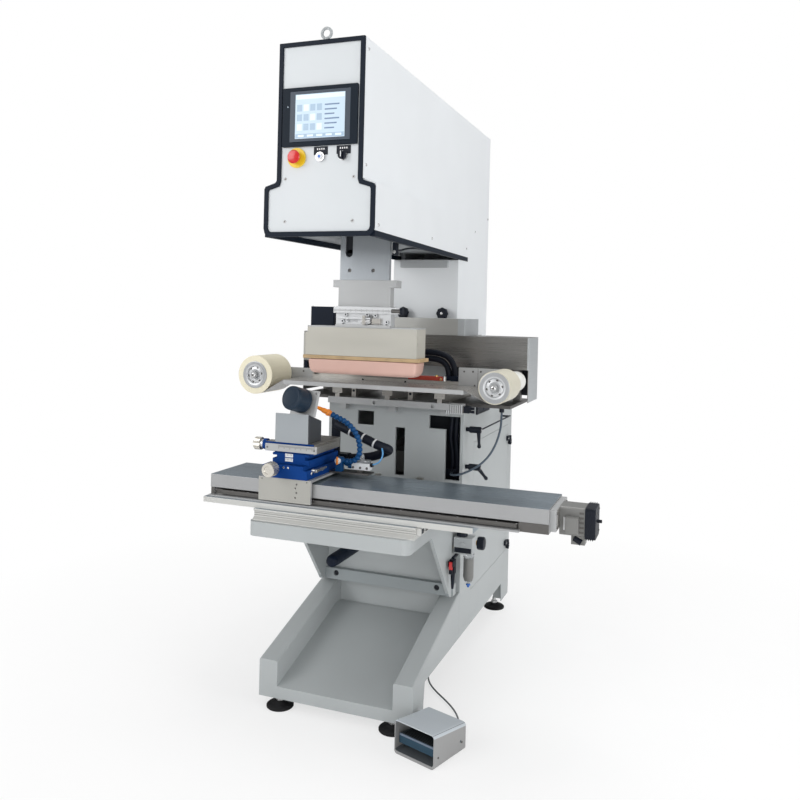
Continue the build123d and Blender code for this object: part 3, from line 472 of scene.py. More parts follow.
class Shape:
    """Collects solids, each with its own finish, into one piece."""

    def __init__(self):
        self.mesh = bmesh.new()
        self.finishes = []

    def index(self, name):
        """The number of the finish in this piece."""
        if name not in self.finishes:
            self.finishes.append(name)
        return self.finishes.index(name)

    def add(self, solid, name, width=0.0):
        """Adds a solid in one finish, its sharp edges bevelled by width."""
        index = self.index(name)
        for face in solid.faces:
            face.material_index = index
        soften(solid, list(solid.faces), width)
        return self.take(solid)

    def take(self, solid):
        """Joins a finished solid to the piece."""
        part = bpy.data.meshes.new("part")
        solid.to_mesh(part)
        solid.free()
        self.mesh.from_mesh(part)
        bpy.data.meshes.remove(part)
        return self

    def box(self, x0, x1, y0, y1, z0, z1, name, width=0.6):
        return self.add(corner_box(x0, x1, y0, y1, z0, z1), name, width)

    def rod(self, base, direction, radius, length, name, width=0.0, sides=28):
        return self.add(rod(base, direction, radius, length, sides), name, width)

    def turn(self, profile, base, direction, name, **details):
        return self.add(turned(profile, base, direction, **details), name)

    def hose(self, points, name, radius, **details):
        return self.add(hose(points, radius, **details), name)

    def copy_node(self, node, rule, width):
        """Takes a CAD node's shape with softened edges. rule gives the finish's name, or is a
        function of a solid's centre and a face's centre."""
        solid = bmesh.new()
        solid.from_mesh(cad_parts[node].data)
        solid.transform(FROM_FRAME)
        bmesh.ops.remove_doubles(solid, verts=solid.verts, dist=MERGE_DISTANCE)
        bmesh.ops.dissolve_limit(solid, angle_limit=FLAT_ANGLE, verts=solid.verts, edges=solid.edges)
        for faces in islands(solid):
            spots = [v.co for f in faces for v in f.verts]
            centre = Vector([(min(s[k] for s in spots) + max(s[k] for s in spots)) / 2
                             for k in range(3)])
            for face in faces:
                name = rule if isinstance(rule, str) else rule(centre, face.calc_center_bounds())
                face.material_index = self.index(name)
        solid.faces.index_update()
        for island in [{face.index for face in faces} for faces in islands(solid)]:
            single = solid.copy()
            others = [face for face in single.faces if face.index not in island]
            bmesh.ops.delete(single, geom=others, context="FACES")
            soften(single, list(single.faces), width)
            self.take(single)
        solid.free()
        return self

    def place(self, name, body, slot, smooth=40):
        """Makes the object, in metres, riding on its body."""
        self.mesh.transform(TO_FRAME)
        data = bpy.data.meshes.new(name)
        self.mesh.to_mesh(data)
        self.mesh.free()
        if "custom_normal" in data.attributes:
            data.attributes.remove(data.attributes["custom_normal"])
        for finish_name in self.finishes:
            data.materials.append(FINISHES[finish_name])
        data.shade_smooth()
        data.set_sharp_from_angle(angle=radians(smooth))
        piece = bpy.data.objects.new(name, data)
        weighted = piece.modifiers.new("weighted", "WEIGHTED_NORMAL")
        weighted.keep_sharp = True
        weighted.weight = NORMAL_WEIGHT
        bpy.context.scene.collection.objects.link(piece)
        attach(piece, body)
        return piece

    def replace(self, node, body, slot, smooth=40):
        """Places the shape in the stead of one CAD node."""
        piece = self.place(node + "_piece", body, slot, smooth)
        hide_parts(node)
        return piece


def dressed(node, body, slot, rule, width=0.8, extra=None):
    """A finished piece in place of one CAD node. extra is a function that adds details to it."""
    shape = Shape().copy_node(node, rule, width)
    if extra:
        extra(shape)
    shape.replace(node, body, slot)


def socket_screw(shape, base, direction, radius=5.0, height=2.5, name="bright_steel"):
    """A domed screw head with a six-sided socket."""
    outline = [(0, 0), (radius, 0), (radius, height * 0.45), (radius * 0.82, height * 0.85),
               (radius * 0.55, height), (radius * 0.5, height), (radius * 0.5, height * 0.25),
               (0, height * 0.25)]
    shape.turn(outline, base, direction, name, steps=18)
    shape.rod(Vector(base) + Vector(direction).normalized() * height * 0.2, direction, radius * 0.5,
              height * 0.15, "dark_steel", sides=6)


# Head
def head_shell():
    # The band low on the head's front gets the painted shade grey
    dressed("head_covers", "stand", "head_paint",
            lambda c, f: "head_band_shade_grey" if f.y < 1003.9 and 1490 < f.z < 1540 else "head_paint", 1.0)

    def bushing(shape):
        shape.box(108, 124, 338, 359.5, 1503, 1546, "dark_plastic", 3)
        shape.rod((116, 338, 1514), FRONT, 5.5, 2, "bright_steel", 0.5, sides=24)
        shape.hose([(116, 356, 1521), (115, 398, 1522), (113, 450, 1533), (113, 540, 1543),
                    (112, 660, 1547), (111, 720, 1560)], "cable_dark", 3.2)

    dressed("side_covers", "stand", "head_paint", "head_paint", 1.2, extra=bushing)
    dressed("head_trim", "stand", "trim_paint", "trim_paint", 2.2)
    dressed("column_frame", "stand", "frame_paint", "frame_paint", 0)

    def panel_finish(centre, face):
        if 1778 < face.z < 1803 and face.x > 1 and face.y < -1.4:
            return "dark_plastic"
        if face.y > -1.6 or not 1735 < face.z < 1810:
            return "panel_paint"
        return "yellow_plastic" if face.x < -40 else "bright_steel"

    def panel_details(shape):
        for x in (4, 79):
            for dx in (-12, -5, 2, 9):
                shape.box(x + dx, x + dx + 3.5, -3.4, -3, 1793, 1798, "pointer_white", 0)

    dressed("front_panel", "stand", "head_paint", panel_finish, 0.5, extra=panel_details)
    eye = Shape().copy_node("lifting_eye", "cast_grey", 0)
    eye.turn([(0, 0), (13, 0), (15, 1.5), (15, 4.5), (12, 6), (0, 6)], (0, 28, 2122), UP, "cast_grey")
    eye.replace("lifting_eye", "stand", "bright_steel")
    screws = Shape()
    for x, z in ((113, 1709), (112, 1580)):
        for sign in (-1, 1):
            socket_screw(screws, (x * sign, -1.5, z), FRONT)
    for x, y, z in ((141, 23, 1747), (141, 25, 2091), (182.3, 30, 1569), (161.6, 594, 1582),
                    (142.6, 1110, 1586), (141, 1245, 1671), (141, 1458, 1749)):
        for sign in (-1, 1):
            socket_screw(screws, (x * sign, y, z), (sign, 0, 0))
    screws.replace("cover_screws", "stand", "bright_steel")


def control_panel():
    screen = Shape().copy_node("touch_screen", "bezel_plastic", 1.2)
    screen.box(-98, 101, -10.4, -9.7, 1819, 1971, "bezel_inner", 0.3)
    screen.box(-80, 84, -10.9, -10.3, 1828, 1961, "screen_light", 0.1)
    screen.box(-78, 82, -11.1, -10.8, 1946, 1959, "screen_pale", 0)
    screen.box(-78, 82, -11.1, -10.8, 1830, 1842, "screen_grey", 0)
    for row in range(3):
        for column in range(4):
            x = -74 + column * 22
            z = 1852 + row * 29
            tint = "screen_grey" if (row + column) % 3 else "screen_pale"
            screen.box(x, x + 17, -11.1, -10.8, z, z + 20, tint, 0)
    for row in range(6):
        screen.box(18, 50 + 8 * (row % 3), -11.1, -10.8, 1854 + 14 * row, 1858 + 14 * row, "screen_dark",
                   0)
    for column in range(5):
        screen.box(-70 + column * 31, -50 + column * 31, -11.3, -11, 1833, 1839, "screen_pale", 0)
    screen.rod((-106, -10, 1926), FRONT, 1.6, 0.8, "screen_pale", sides=12)
    screen.replace("touch_screen", "stand", "dark_plastic")

    stop = Shape()
    stop.turn([(0, -40), (9, -40), (9, 8), (13, 9), (20, 13), (20.5, 16), (18.5, 19), (12, 20.4),
               (0, 20.8)], (-75, -10, BUTTON_Z), FRONT, "red_plastic", steps=48)
    stop.replace("stop_cap", "stop_cap", "red_plastic")
    button = Shape()
    button.turn([(0, -30), (8.9, -30), (8.9, 1.5), (8, 3), (0, 3)], (4, -10, BUTTON_Z), FRONT,
                "white_plastic")
    button.rod((4, -12.6, BUTTON_Z), FRONT, 4.6, 0.7, "button_blue")
    button.replace("push_button", "push_button", "white_plastic")

    def pointer(shape):
        shape.box(77.8, 80.2, -24.6, -23.8, 1766, 1783, "pointer_white", 0.1)

    dressed("selector_knob", "selector_knob", "dark_plastic", "dark_plastic", 1.0, extra=pointer)


def column_fittings():
    for name, x in (("column_knob_left", -COLUMN_KNOB_X), ("column_knob_right", COLUMN_KNOB_X)):
        knob = Shape()
        knob.turn([(0, -34), (5.9, -34), (5.9, -17), (9.8, -16.5), (10, 0), (21, 0), (24.6, 3), (25, 12),
                   (23.5, 17), (19, 19.5), (9, 18.5), (0, 18)], (x, 986, COLUMN_KNOB_Z), FRONT,
                  "dark_plastic", flutes=8, flute_depth=2.2, flute_from=22)
        knob.turn([(0, 0), (5, 0), (5, 1.4), (3, 2), (0, 2)], (x, 968, COLUMN_KNOB_Z), FRONT,
                  "bright_steel")
        knob.replace(name, name, "dark_plastic")


# Hood, bed and stand
def hood_and_bed():
    def hood_finish(centre, face):
        if centre.x < -300 and centre.z > 1260:
            return "navy_plastic"
        if centre.x < -300 and centre.z > 1232:
            return "pale_aluminium"
        if face.x > 488 and centre.z < 1230:
            return "stainless_end"
        # The hood's rear panels in near black: painted shade under the hood, which also colours their
        # outer faces
        if 900 < face.y < 916 and face.z < 1228:
            return "shade_and_plug_black"
        return "stainless_cover" if 1231 < face.z and abs(face.x) < 246 else "stainless"

    def hood_details(shape):
        shape.box(217, 244.6, 759.4, 955.6, 1229.8, 1293.6, "stainless_end", 0.8)
        shape.box(486, 492.6, 749.2, 752, 1112, 1230.6, "stainless_end", 0.5)
        for x in (-408, -312):
            socket_screw(shape, (x, 790, 1329), UP, 3.5, 2)

    dressed("hood", "stand", "stainless", hood_finish, 0.9, extra=hood_details)

    def bed_finish(centre, face):
        if centre.y < 640 and centre.z < 990 and abs(centre.x) < 100:
            return "pale_aluminium"
        if centre.z > 987:
            return "ground_steel"
        return "dark_steel" if centre.y > 700 else "pale_aluminium"

    def bed_details(shape):
        for x in (225, 233, 241, 249, 257, 265, 273, 281):
            shape.box(x, x + 5, 606, 644, 953, 987, "aluminium", 0.4)
        shape.box(221, 290, 610, 640, 957, 983, "dark_steel", 0.6)
        shape.box(290, 312, 612, 636, 958, 982, "dark_plastic", 1.2)
        for z in (963, 975):
            shape.rod((312, 624, z), RIGHT, 5, 14, "dark_plastic", 0.6)
        shape.box(240.5, 290, 616, 634, 966, 990.5, "pale_aluminium", 0.6)
        for x in (-152, 76):
            shape.box(x - 9, x + 9, 640, 668, 986, 1043, "ground_steel", 0.6)
            shape.rod((x, 639.6, 1012), FRONT, 5, 1.2, "dark_plastic", sides=16)

    dressed("bed_frame", "stand", "steel_plate", bed_finish, 0.8, extra=bed_details)


def stand_body():
    dressed("foot_tray", "stand", "stand_paint", "stand_paint", 1.1)

    def frame_finish(centre, face):
        if 300 < centre.z < 700 and 660 < centre.y < 682:
            return "ground_steel"
        # The stand's front plate gets the painted shade copy of the stand paint
        return "stand_front_shade" if face.y < 685 and face.z > 560 and abs(face.x) < 260 else "stand_paint"

    dressed("stand_frame", "stand", "stand_paint", frame_finish, 1.0)
    dressed("cabinet_panels", "stand", "stand_paint", "stand_paint", 1.0)
    feet = Shape()
    for x, y, top in ((200, 205, 31), (-200, 205, 31), (230, 1390, 45), (-230, 1390, 45)):
        feet.turn([(0, 0), (43, 0), (45, 2), (45, 7), (41, 10.5), (38, 12), (26, 14), (20, 20), (16, 22),
                   (0, 22)], (x, y, 0), UP, "black_rubber", steps=40)
        feet.rod((x, y, 20), UP, 8, top - 20, "bright_steel", sides=24)
        feet.rod((x, y, 22), UP, 14, 8, "bright_steel", 0.6, sides=6)
    feet.replace("levelling_feet", "stand", "black_rubber")

    def equipment_finish(centre, face):
        return "cable_dark" if centre.x > 195 and centre.y < 760 and centre.z > 700 else "motor_paint"

    # A near-black sheet behind the inner equipment: painted shade inside the cabinet
    def shade_back_wall(shape):
        shape.box(20, 262, 812, 815, 600, 960, "shade_and_plug_black", 0)

    dressed("inner_equipment", "stand", "motor_paint", equipment_finish, 0.8, extra=shade_back_wall)


def side_fittings():
    def fitting_finish(centre, face):
        if centre.x > 395:
            return "cable_dark"
        if centre.z > 920 and centre.x > 260:
            return "dark_plastic"
        if centre.z > 860 and centre.x > 260 or centre.y > 1400 and centre.x > 271:
            return "dark_plastic"
        if centre.z < 130:
            return "black_rubber"
        if centre.x < 240:
            return "dark_plastic"
        return "aluminium"

    def fitting_details(shape):
        shape.box(274, 276.4, 862, 938, 933, 952, "navy_plastic", 0.6)
        shape.box(274, 276.4, 946, 1028, 933, 952, "navy_plastic", 0.6)
        for y in (856, 1034):
            socket_screw(shape, (277, y, 942), RIGHT, 3.2, 1.6, "dark_steel")
        for z in (742, 274):
            for y in (1424, 1438):
                socket_screw(shape, (281, y, z), RIGHT, 2.6, 1.4)

    dressed("panel_fittings", "stand", "dark_plastic", fitting_finish, 0.6, extra=fitting_details)

    def door_details(shape):
        for z in (762, 294):
            for y in (1380, 1395):
                socket_screw(shape, (281, y, z), RIGHT, 2.6, 1.4)

    dressed("service_door", "service_door", "stand_paint",
            lambda c, f: "dark_plastic" if f.x > 271.6 and f.y > 1370 else "stand_paint", 0.7,
            extra=door_details)
    knob = Shape()
    knob.turn([(0, -25), (9, -25), (9, -20), (5, -19), (5, -15), (8, -15), (8, 0), (14, 1.5), (24, 3),
               (25, 8), (25, 24), (22.5, 29), (12, 31), (0, 31)], (287, 856, 432), RIGHT, "dark_plastic",
              flutes=10, flute_depth=1.6, flute_from=20)
    knob.turn([(0, 0), (9.4, 0), (9.4, 3), (8.4, 4), (8.4, 14), (0, 14)], (271.6, 856, 432), RIGHT,
              "brass")
    knob.replace("door_knob", "door_knob", "dark_plastic")
    for name, z, tip in (("clamp_lever_upper", 886, (323, 714, 826)),
                         ("clamp_lever_lower", 748, (340, 760, 703))):
        lever = Shape()
        lever.turn([(0, -26), (5, -26), (5, -16), (8, -15.5), (8, -4), (11, -3), (12, 0), (12, 37),
                    (10.5, 41), (6, 42), (0, 42)], (LEVER_X, LEVER_Y, z), RIGHT, "dark_plastic")
        lever.turn([(0, 0), (4.4, 0), (4.4, 1.6), (0, 2)], (LEVER_X + 42, LEVER_Y, z), RIGHT,
                   "bright_steel")
        start = Vector((LEVER_X + 31, LEVER_Y, z))
        reach = Vector(tip) - start
        lever.turn([(0, 0), (8, 0), (6.4, reach.length * 0.4), (5.2, reach.length * 0.8),
                    (6.8, reach.length * 0.95), (7.4, reach.length), (5, reach.length + 5),
                    (0, reach.length + 6.6)], start, reach, "dark_plastic")
        lever.replace(name, name, "dark_plastic")


# Arm, pad slide and pad
def arm_and_pad():
    dressed("ram_frame", "ram", "frame_paint",
            lambda c, f: "dark_plastic" if c.z > 2000 else "frame_paint", 0.8)
    for node, body in (("ram_screw", "ram_screw"), ("pad_screw", "pad_screw")):
        dressed(node, body, "bright_steel", "bright_steel", 0)

    def slide_finish(centre, face):
        if centre.z > 1500:
            return "plate_aluminium" if centre.y < 376 else "bracket_brown"
        if 1330 < centre.z < 1430:
            return "pale_aluminium"
        return "aluminium"

    def slide_details(shape):
        # A near-black slot shape on the slide plate: painted shade in its opening
        shape.box(-73, -46, 370.6, 372.2, 1512, 1600, "shade_and_plug_black", 0)
        shape.rod((-59.5, 372.2, 1512), FRONT, 13.4, 1.6, "shade_and_plug_black")
        for x in (-56, 31):
            shape.rod((x, 379, 1453), FRONT, 6.4, 12, "dark_steel", sides=24)
        for number in range(58):
            x = -104 + number * 4
            tall = 8.5 if number % 5 == 0 else 4.5
            shape.box(x, x + 0.9, 349.4, 350, SCALE_Z - tall / 2, SCALE_Z + tall / 2, "dark_steel", 0)
        shape.box(-103, 100, 356, 362, 1258, 1268, "pale_aluminium", 0.8)
        shape.box(-96, 30, 350, 362, 1286, 1292, "aluminium", 0.5)
        for x, z in ((-64, 1301), (16, 1302), (46, 1300), (-75, 1279), (88, 1279)):
            shape.rod((x, 361, z), FRONT, 6.2, 7, "aluminium", 0.5, sides=20)
            shape.rod((x, 354.2, z), FRONT, 3.4, 0.4, "dark_plastic", sides=6)
        shape.box(-4, 30, 350, 362, 1272, 1284, "bright_steel", 0.6)
        shape.box(34, 66, 352, 362, 1270, 1290, "ground_steel", 0.6)
        shape.box(2, 12, 346, 352, 1268, 1299, "ground_steel", 0.6)
        shape.rod((106, 356, SCALE_Z), RIGHT, 9, 34, "dark_steel", 0.6, sides=24)
        shape.rod((138, 356, SCALE_Z), RIGHT, 12, 7, "dark_plastic", 1, sides=24)

    dressed("slide_unit", "pad_slide", "aluminium", slide_finish, 0.9, extra=slide_details)

    def backing_finish(centre, face):
        return "tan_board" if centre.z < 1158.5 else "cream_block"

    def backing_details(shape):
        shape.box(-211.6, 194.4, 361.8, 452.4, 1256, 1260.5, "pale_aluminium", 0.5)
        shape.box(-225.5, -219, 361.5, 366, 1160, 1236, "cream_paint", 0.5)
        shape.box(194, 197, 366, 400, 1206, 1232, "cream_block", 0.5)

    dressed("pad_backing", "pad_slide", "cream_paint", backing_finish, 0.9, extra=backing_details)
    pad = Shape()
    body = bmesh.new()
    layers = ((-211, 196, 362.2, 452.8, 1146), (-211, 196, 362.2, 452.8, 1143),
              (-210, 195, 362.6, 452.4, 1128), (-207.5, 192.5, 364, 451, 1112),
              (-205, 190, 366, 449, 1103), (-196, 182, 373, 441, 1094.4), (-184, 172, 388, 427, 1092.4))
    rings = []
    for x0, x1, y0, y1, z in layers:
        cut = min(12, (y1 - y0) / 3)
        outline = [(x0 + cut, y0), (x1 - cut, y0), (x1 - cut * 0.3, y0 + cut * 0.3), (x1, y0 + cut),
                   (x1, y1 - cut), (x1 - cut * 0.3, y1 - cut * 0.3), (x1 - cut, y1), (x0 + cut, y1),
                   (x0 + cut * 0.3, y1 - cut * 0.3), (x0, y1 - cut), (x0, y0 + cut),
                   (x0 + cut * 0.3, y0 + cut * 0.3)]
        rings.append([body.verts.new((x, y, z)) for x, y in outline])
    for low, high in zip(rings, rings[1:]):
        for k in range(12):
            body.faces.new((low[k], low[(k + 1) % 12], high[(k + 1) % 12], high[k]))
    body.faces.new(rings[0])
    body.faces.new(rings[-1])
    bmesh.ops.recalc_face_normals(body, faces=body.faces)
    pad.add(body, "pink_silicone")
    piece = pad.replace("silicone_pad", "pad_slide", "pink_silicone", 60)
    piece.modifiers.clear()
    rounded = piece.modifiers.new("rounded", "SUBSURF")
    rounded.levels = 2
    rounded.render_levels = 2


# Tape carriage
def tape_carriage():
    def carriage_finish(centre, face):
        if centre.x > 400 and centre.y > 600:
            return "roll_motor_white"
        if 1071 < centre.z < 1080 and centre.y > 590:
            return "ground_steel"
        if abs(face.x) > 292 and face.y < 582:
            return "pale_aluminium"
        return "ground_steel"

    def carriage_details(shape):
        for x, z in ((301, 1110), (333, 1111), (361, 1112), (340, 1062), (-330, 1082), (-462, 1082)):
            shape.rod((x, 569.4, z), FRONT, 3.4, 1.4, "dark_steel", 0.3, sides=16)
        shape.box(280.6, 430.4, 569.4, 580.4, 1054.6, 1123.4, "pale_aluminium", 0.6)
        shape.box(430, 485.4, 569.4, 580.4, 1044.6, 1105.4, "pale_aluminium", 0.6)
        shape.box(-480.4, -292, 569.4, 580.4, 1049.6, 1094.4, "pale_aluminium", 0.6)
        shape.box(350.4, 351.6, 568.8, 569.5, 1057, 1121, "dark_steel", 0)
        shape.box(90, 222, 574, 606, 1072.2, 1086, "red_plate", 0.8)
        shape.rod((196, 582, 1086), UP, 6, 4, "brass", 0.8, sides=20)
        shape.rod((226, 580, 1072), UP, 7, 15, "bright_steel", 0.8, sides=20)
        shape.rod((214, 573.8, 1078), FRONT, 4, 3, "brass", 0.6, sides=20)
        for x in (-86, 81):
            shape.rod((x, 569.6, 1062), FRONT, 3.8, 0.4, "dark_plastic", sides=20)
        shape.box(-330, -318, 571, 578, 1094, 1122, "navy_plastic", 0.6)
        shape.box(210, 268, 606, 658, 1058, 1088, "navy_plastic", 1)

    dressed("carriage_frame", "print_carriage", "dark_steel", carriage_finish, 0.8,
            extra=carriage_details)
    dressed("tape_platen", "print_carriage", "aluminium",
            lambda c, f: "tape_web" if c.z < 1042 or f.z > 1058.6 else "pale_aluminium", 0.4)
    for side, sign, radius in (("left", -1, 70), ("right", 1, 55)):
        x = ROLL_X * sign
        roll = Shape()
        roll.turn([(38, 0), (radius - 1.5, 0), (radius, 1.2), (radius, ROLL_LENGTH - 1.2),
                   (radius - 1.5, ROLL_LENGTH), (38, ROLL_LENGTH), (38, 0)], (x, ROLL_FRONT, ROLL_Z), BACK,
                   "tape_" + side, steps=72)
        roll.turn([(12.1, 0), (15, -2), (18, -3), (20, 1), (30, 3), (33, -2), (37.9, -3), (37.9, 150),
                   (12.1, 150), (12.1, 0)], (x, ROLL_FRONT, ROLL_Z), BACK, "aluminium", steps=48)
        flange = radius * 0.7 if side == "left" else radius * 0.93
        roll.turn([(30, 1), (34, -1.6), (flange - 3, -2.6), (flange, -1.6), (flange, 0.2), (30, 1)],
                  (x, ROLL_FRONT, ROLL_Z), BACK, "hub_silver", steps=64)
        for turn in range(6):
            t = pi * turn / 3 + 0.2
            roll.rod((x + 25.5 * cos(t), ROLL_FRONT + 2.4, ROLL_Z + 25.5 * sin(t)), FRONT, 4.2, 0.6,
                     "dark_steel", sides=16)
        roll.replace("tape_roll_" + side, "roll_" + side, "cream_tape")
        nut = Shape()
        nut.turn([(0, 0), (9, 0), (9, 5), (6, 7), (0, 7)], (x, ROLL_FRONT - 9.5, ROLL_Z), FRONT,
                 "bright_steel")
        nut.rod((x, ROLL_FRONT - 16, ROLL_Z), FRONT, 4.2, 3.4, "dark_steel", 0.4, sides=6)
        nut.place(f"roll_nut_{side}", "print_carriage", "bright_steel")
    conduits = Shape()
    for radius in (98.5, 75.5):
        arch = ((-1, 0.42), (-0.78, 0.84), (-0.3, 1), (0.3, 1), (0.78, 0.84), (1, 0.42))
        route = [(CONDUIT_X + radius * across, CONDUIT_Y, CONDUIT_Z + radius * up) for across, up in arch]
        route.insert(0, (CONDUIT_X - radius, CONDUIT_Y, CONDUIT_Z + 7))
        route.append((CONDUIT_X + radius, CONDUIT_Y, CONDUIT_Z + 1))
        conduits.hose(route, "conduit_black", 10.7, sides=16, ribs=0.5, gap=2.8)
    conduits.replace("carriage_conduits", "print_carriage", "dark_plastic")


# Knee and table
def knee_and_axis():
    def knee_details(shape):
        # Black plugs in the crossbar holes
        for x in (-200, 200):
            shape.rod((x, 656, 318), FRONT, 10.6, 24, "shade_and_plug_black", sides=32)

    # The crossbar's low front faces get the painted shade copy of the stand paint
    dressed("knee_bracket", "knee", "stand_paint",
            lambda c, f: "stand_front_shade" if f.z < 345 and f.y < 640 else "stand_paint", 1.4,
            extra=knee_details)
    grip = Shape()
    grip.turn([(0, 0), (10, 0.4), (17, 4), (20.4, 12), (21, 22), (21, 370), (0, 370)],
              (GRIP_X, 270, GRIP_Z), BACK, "navy_plastic", steps=40)
    for y in range(300, 470, 12):
        grip.turn([(20.6, 0), (21.4, 0.8), (21.4, 5), (20.6, 5.8)], (GRIP_X, y, GRIP_Z), BACK,
                  "navy_plastic", steps=40)
    grip.rod((GRIP_X, 640, GRIP_Z), BACK, 10, 24, "bright_steel")
    grip.replace("lift_grip", "lift_grip", "dark_plastic")

    def beam_details(shape):
        shape.box(305, 306, 134, 150, 646, 660, "navy_plastic", 0)
        shape.box(305, 306.4, 170, 190, 646, 660, "dark_steel", 0)
        for z in (645, 652):
            shape.box(-268, 290, 123.4, 124.2, z, z + 1, "dark_steel", 0)
        for y in (150, 260, 360):
            socket_screw(shape, (305, y, 653), RIGHT, 4, 2, "dark_steel")

    # The beam's front and lower faces get the painted light copy of the beam metal; the rest is cover
    # metal
    dressed("table_beam", "knee", "aluminium",
            lambda c, f: "beam_front_light" if f.z < 665 or f.y < 128 else "cover_metal", 0.9,
            extra=beam_details)

    def profile_finish(centre, face):
        if centre.y < 160 or centre.y > 365 and centre.x < 600:
            return "dark_steel"
        if centre.x > 680:
            return "pale_aluminium"
        return "dark_steel" if face.y < 175 and face.z > 690.5 else "beam_metal"

    def profile_details(shape):
        for x in range(-430, 600, 60):
            shape.rod((x, 152, 706), UP, 3.2, 0.5, "bright_steel", sides=12)
        for y, z in ((178, 700), (347, 700), (178, 742), (347, 742)):
            socket_screw(shape, (702, y, z), RIGHT, 4.5, 3, "dark_steel")
        for y in (200, 318):
            shape.box(701.6, 703, y - 12, y + 12, 692, 751, "ground_steel", 0.5)
        for z in (718, 741):
            socket_screw(shape, (-452, 200, z), LEFT, 4, 2)
            socket_screw(shape, (-452, 330, z), LEFT, 4, 2)

    dressed("axis_profile", "knee", "aluminium", profile_finish, 0.8, extra=profile_details)
    dressed("axis_cover", "knee", "aluminium", lambda c, f: "cover_metal" if f.z > 756 else "beam_metal",
            1.6)
    dressed("axis_screw", "axis_screw", "bright_steel", "bright_steel", 0)

    def motor_details(shape):
        for number in range(5):
            z = 680 + number * 14
            shape.box(760, 773, 219.4, 221, z, z + 6, "dark_steel", 0.2)
        for x in (780, 786, 792, 798):
            shape.box(x, x + 2.4, 215.2, 309, 663.2, 756.8, "dark_plastic", 0.4)
        for y, z in ((230, 680), (294, 680), (230, 744), (294, 744)):
            socket_screw(shape, (702, y, z), RIGHT, 4, 3)
        shape.box(714, 748, 218.6, 220.6, 686, 724, "white_plastic", 0.4)
        shape.rod((744, 240, 660), (1, -0.2, -0.5), 9, 24, "dark_plastic", 1, sides=20)
        for y in (226, 298):
            for z in (678, 742):
                socket_screw(shape, (807, y, z), RIGHT, 3, 2, "dark_steel")

    def motor_finish(centre, face):
        return "dark_plastic" if centre.x > 785 else "motor_paint"

    dressed("axis_motor", "knee", "motor_paint", motor_finish, 1.2, extra=motor_details)


# Cross table, fixture and air parts on the table
def knurled_knob(shape, base, direction, radius, length):
    shape.turn([(0, 0), (radius - 1.2, 0), (radius, 1.2), (radius, length - 1.5), (radius - 2, length),
                (radius * 0.55, length), (radius * 0.5, length - 2), (radius * 0.2, length - 2),
                (0, length - 1)], base, direction, "chrome_knob", flutes=30, flute_depth=0.9,
               flute_from=radius - 1.6)


def cross_table():
    def saddle_details(shape):
        for z in (755, 728):
            shape.rod((-120, 131, z), FRONT, 3, 0.5, "dark_steel", sides=14)
        for x in (-246, -84):
            shape.rod((x, 131, 764), FRONT, 2.4, 0.5, "dark_steel", sides=14)

    dressed("table_saddle", "table_carriage", "aluminium",
            lambda c, f: "cream_paint" if f.y < 142 else "pale_aluminium", 0.9, extra=saddle_details)

    def base_details(shape):
        shape.add(prism([(-258, 804), (-237, 813), (-237, 800), (-252, 796)], "Y", 150, 176), "blue_paint",
                   1)
        for y in (160, 200, 240):
            socket_screw(shape, (-83, y, 788), RIGHT, 5, 3)
        shape.rod((-83, 168, 796), RIGHT, 7, 10, "bright_steel", 0.8, sides=20)
        shape.box(-84, -71, 174, 236, 790, 799, "bright_steel", 1.4)
        shape.rod((-77, 240, 794), BACK, 4, 14, "bright_steel", 0.8, sides=18)
        for x in (-166, -150):
            shape.rod((x, 128, 806), FRONT, 3.4, 1.4, "bright_steel", 0.3, sides=16)

    dressed("stage_base", "table_carriage", "blue_anodised", "blue_paint", 1.6, extra=base_details)

    def cross_details(shape):
        for z in (822, 836):
            shape.box(-173, -145, 148.6, 150.2, z, z + 11, "white_plastic", 0.4)
            for k in range(5):
                shape.box(-170 + 5 * k, -169 + 5 * k, 148.2, 148.7, z + 4, z + 10, "dark_steel", 0)

    dressed("cross_slide", "cross_slide", "blue_anodised", "blue_paint", 1.6, extra=cross_details)
    knob = Shape()
    knurled_knob(knob, (CROSS_KNOB_X, 106, CROSS_KNOB_Z), FRONT, 23, 36)
    knob.turn([(0, 0), (15, 0), (15.5, 1), (15.5, 9), (13, 11.4), (0, 11.4)],
              (CROSS_KNOB_X, 117.5, CROSS_KNOB_Z), FRONT, "bright_steel")
    knob.rod((CROSS_KNOB_X, 117, CROSS_KNOB_Z), BACK, 5, 55, "bright_steel")
    knob.replace("cross_knob", "cross_knob", "chrome_knob")
    knob = Shape()
    knurled_knob(knob, (-272, TOP_KNOB_Y, TOP_KNOB_Z), LEFT, 21, 24)
    knob.turn([(0, 0), (18, 0), (18, 12), (0, 12)], (-262.2, TOP_KNOB_Y, TOP_KNOB_Z), RIGHT, "blue_paint",
              flutes=18, flute_depth=0.6, flute_from=16)
    knob.rod((-273, TOP_KNOB_Y, TOP_KNOB_Z), RIGHT, 15, 12, "bright_steel")
    knob.rod((-251, TOP_KNOB_Y, TOP_KNOB_Z), RIGHT, 5, 37, "bright_steel")
    knob.replace("top_knob", "top_knob", "chrome_knob")

    def top_finish(centre, face):
        if centre.z < 884 and centre.x > -200 and centre.y > 150:
            return "blue_paint" if face.z < 881 and face.x < -73 else "ground_steel"
        if centre.y < 152:
            return "pale_aluminium"
        if centre.z > 960 or centre.y > 230:
            return "pale_aluminium"
        # Faces right of x -94 get the painted shade copy of the fixture metal
        return "fixture_side_shade" if face.x > -94 else "fixture_metal"

    def top_details(shape):
        for number in range(33):
            x = -196 + number * 4
            tall = 11 if number % 5 == 0 else 6
            shape.box(x, x + 0.9, 145.4, 146, 873 - tall, 873, "dark_steel", 0)
        for x in (-238, -68):
            shape.rod((x, 146, 864), FRONT, 3, 0.6, "dark_steel", sides=14)
        shape.box(-73, -60, 156, 300, 856, 876, "ground_steel", 0.8)

    dressed("top_slide", "top_slide", "aluminium", top_finish, 1.0, extra=top_details)


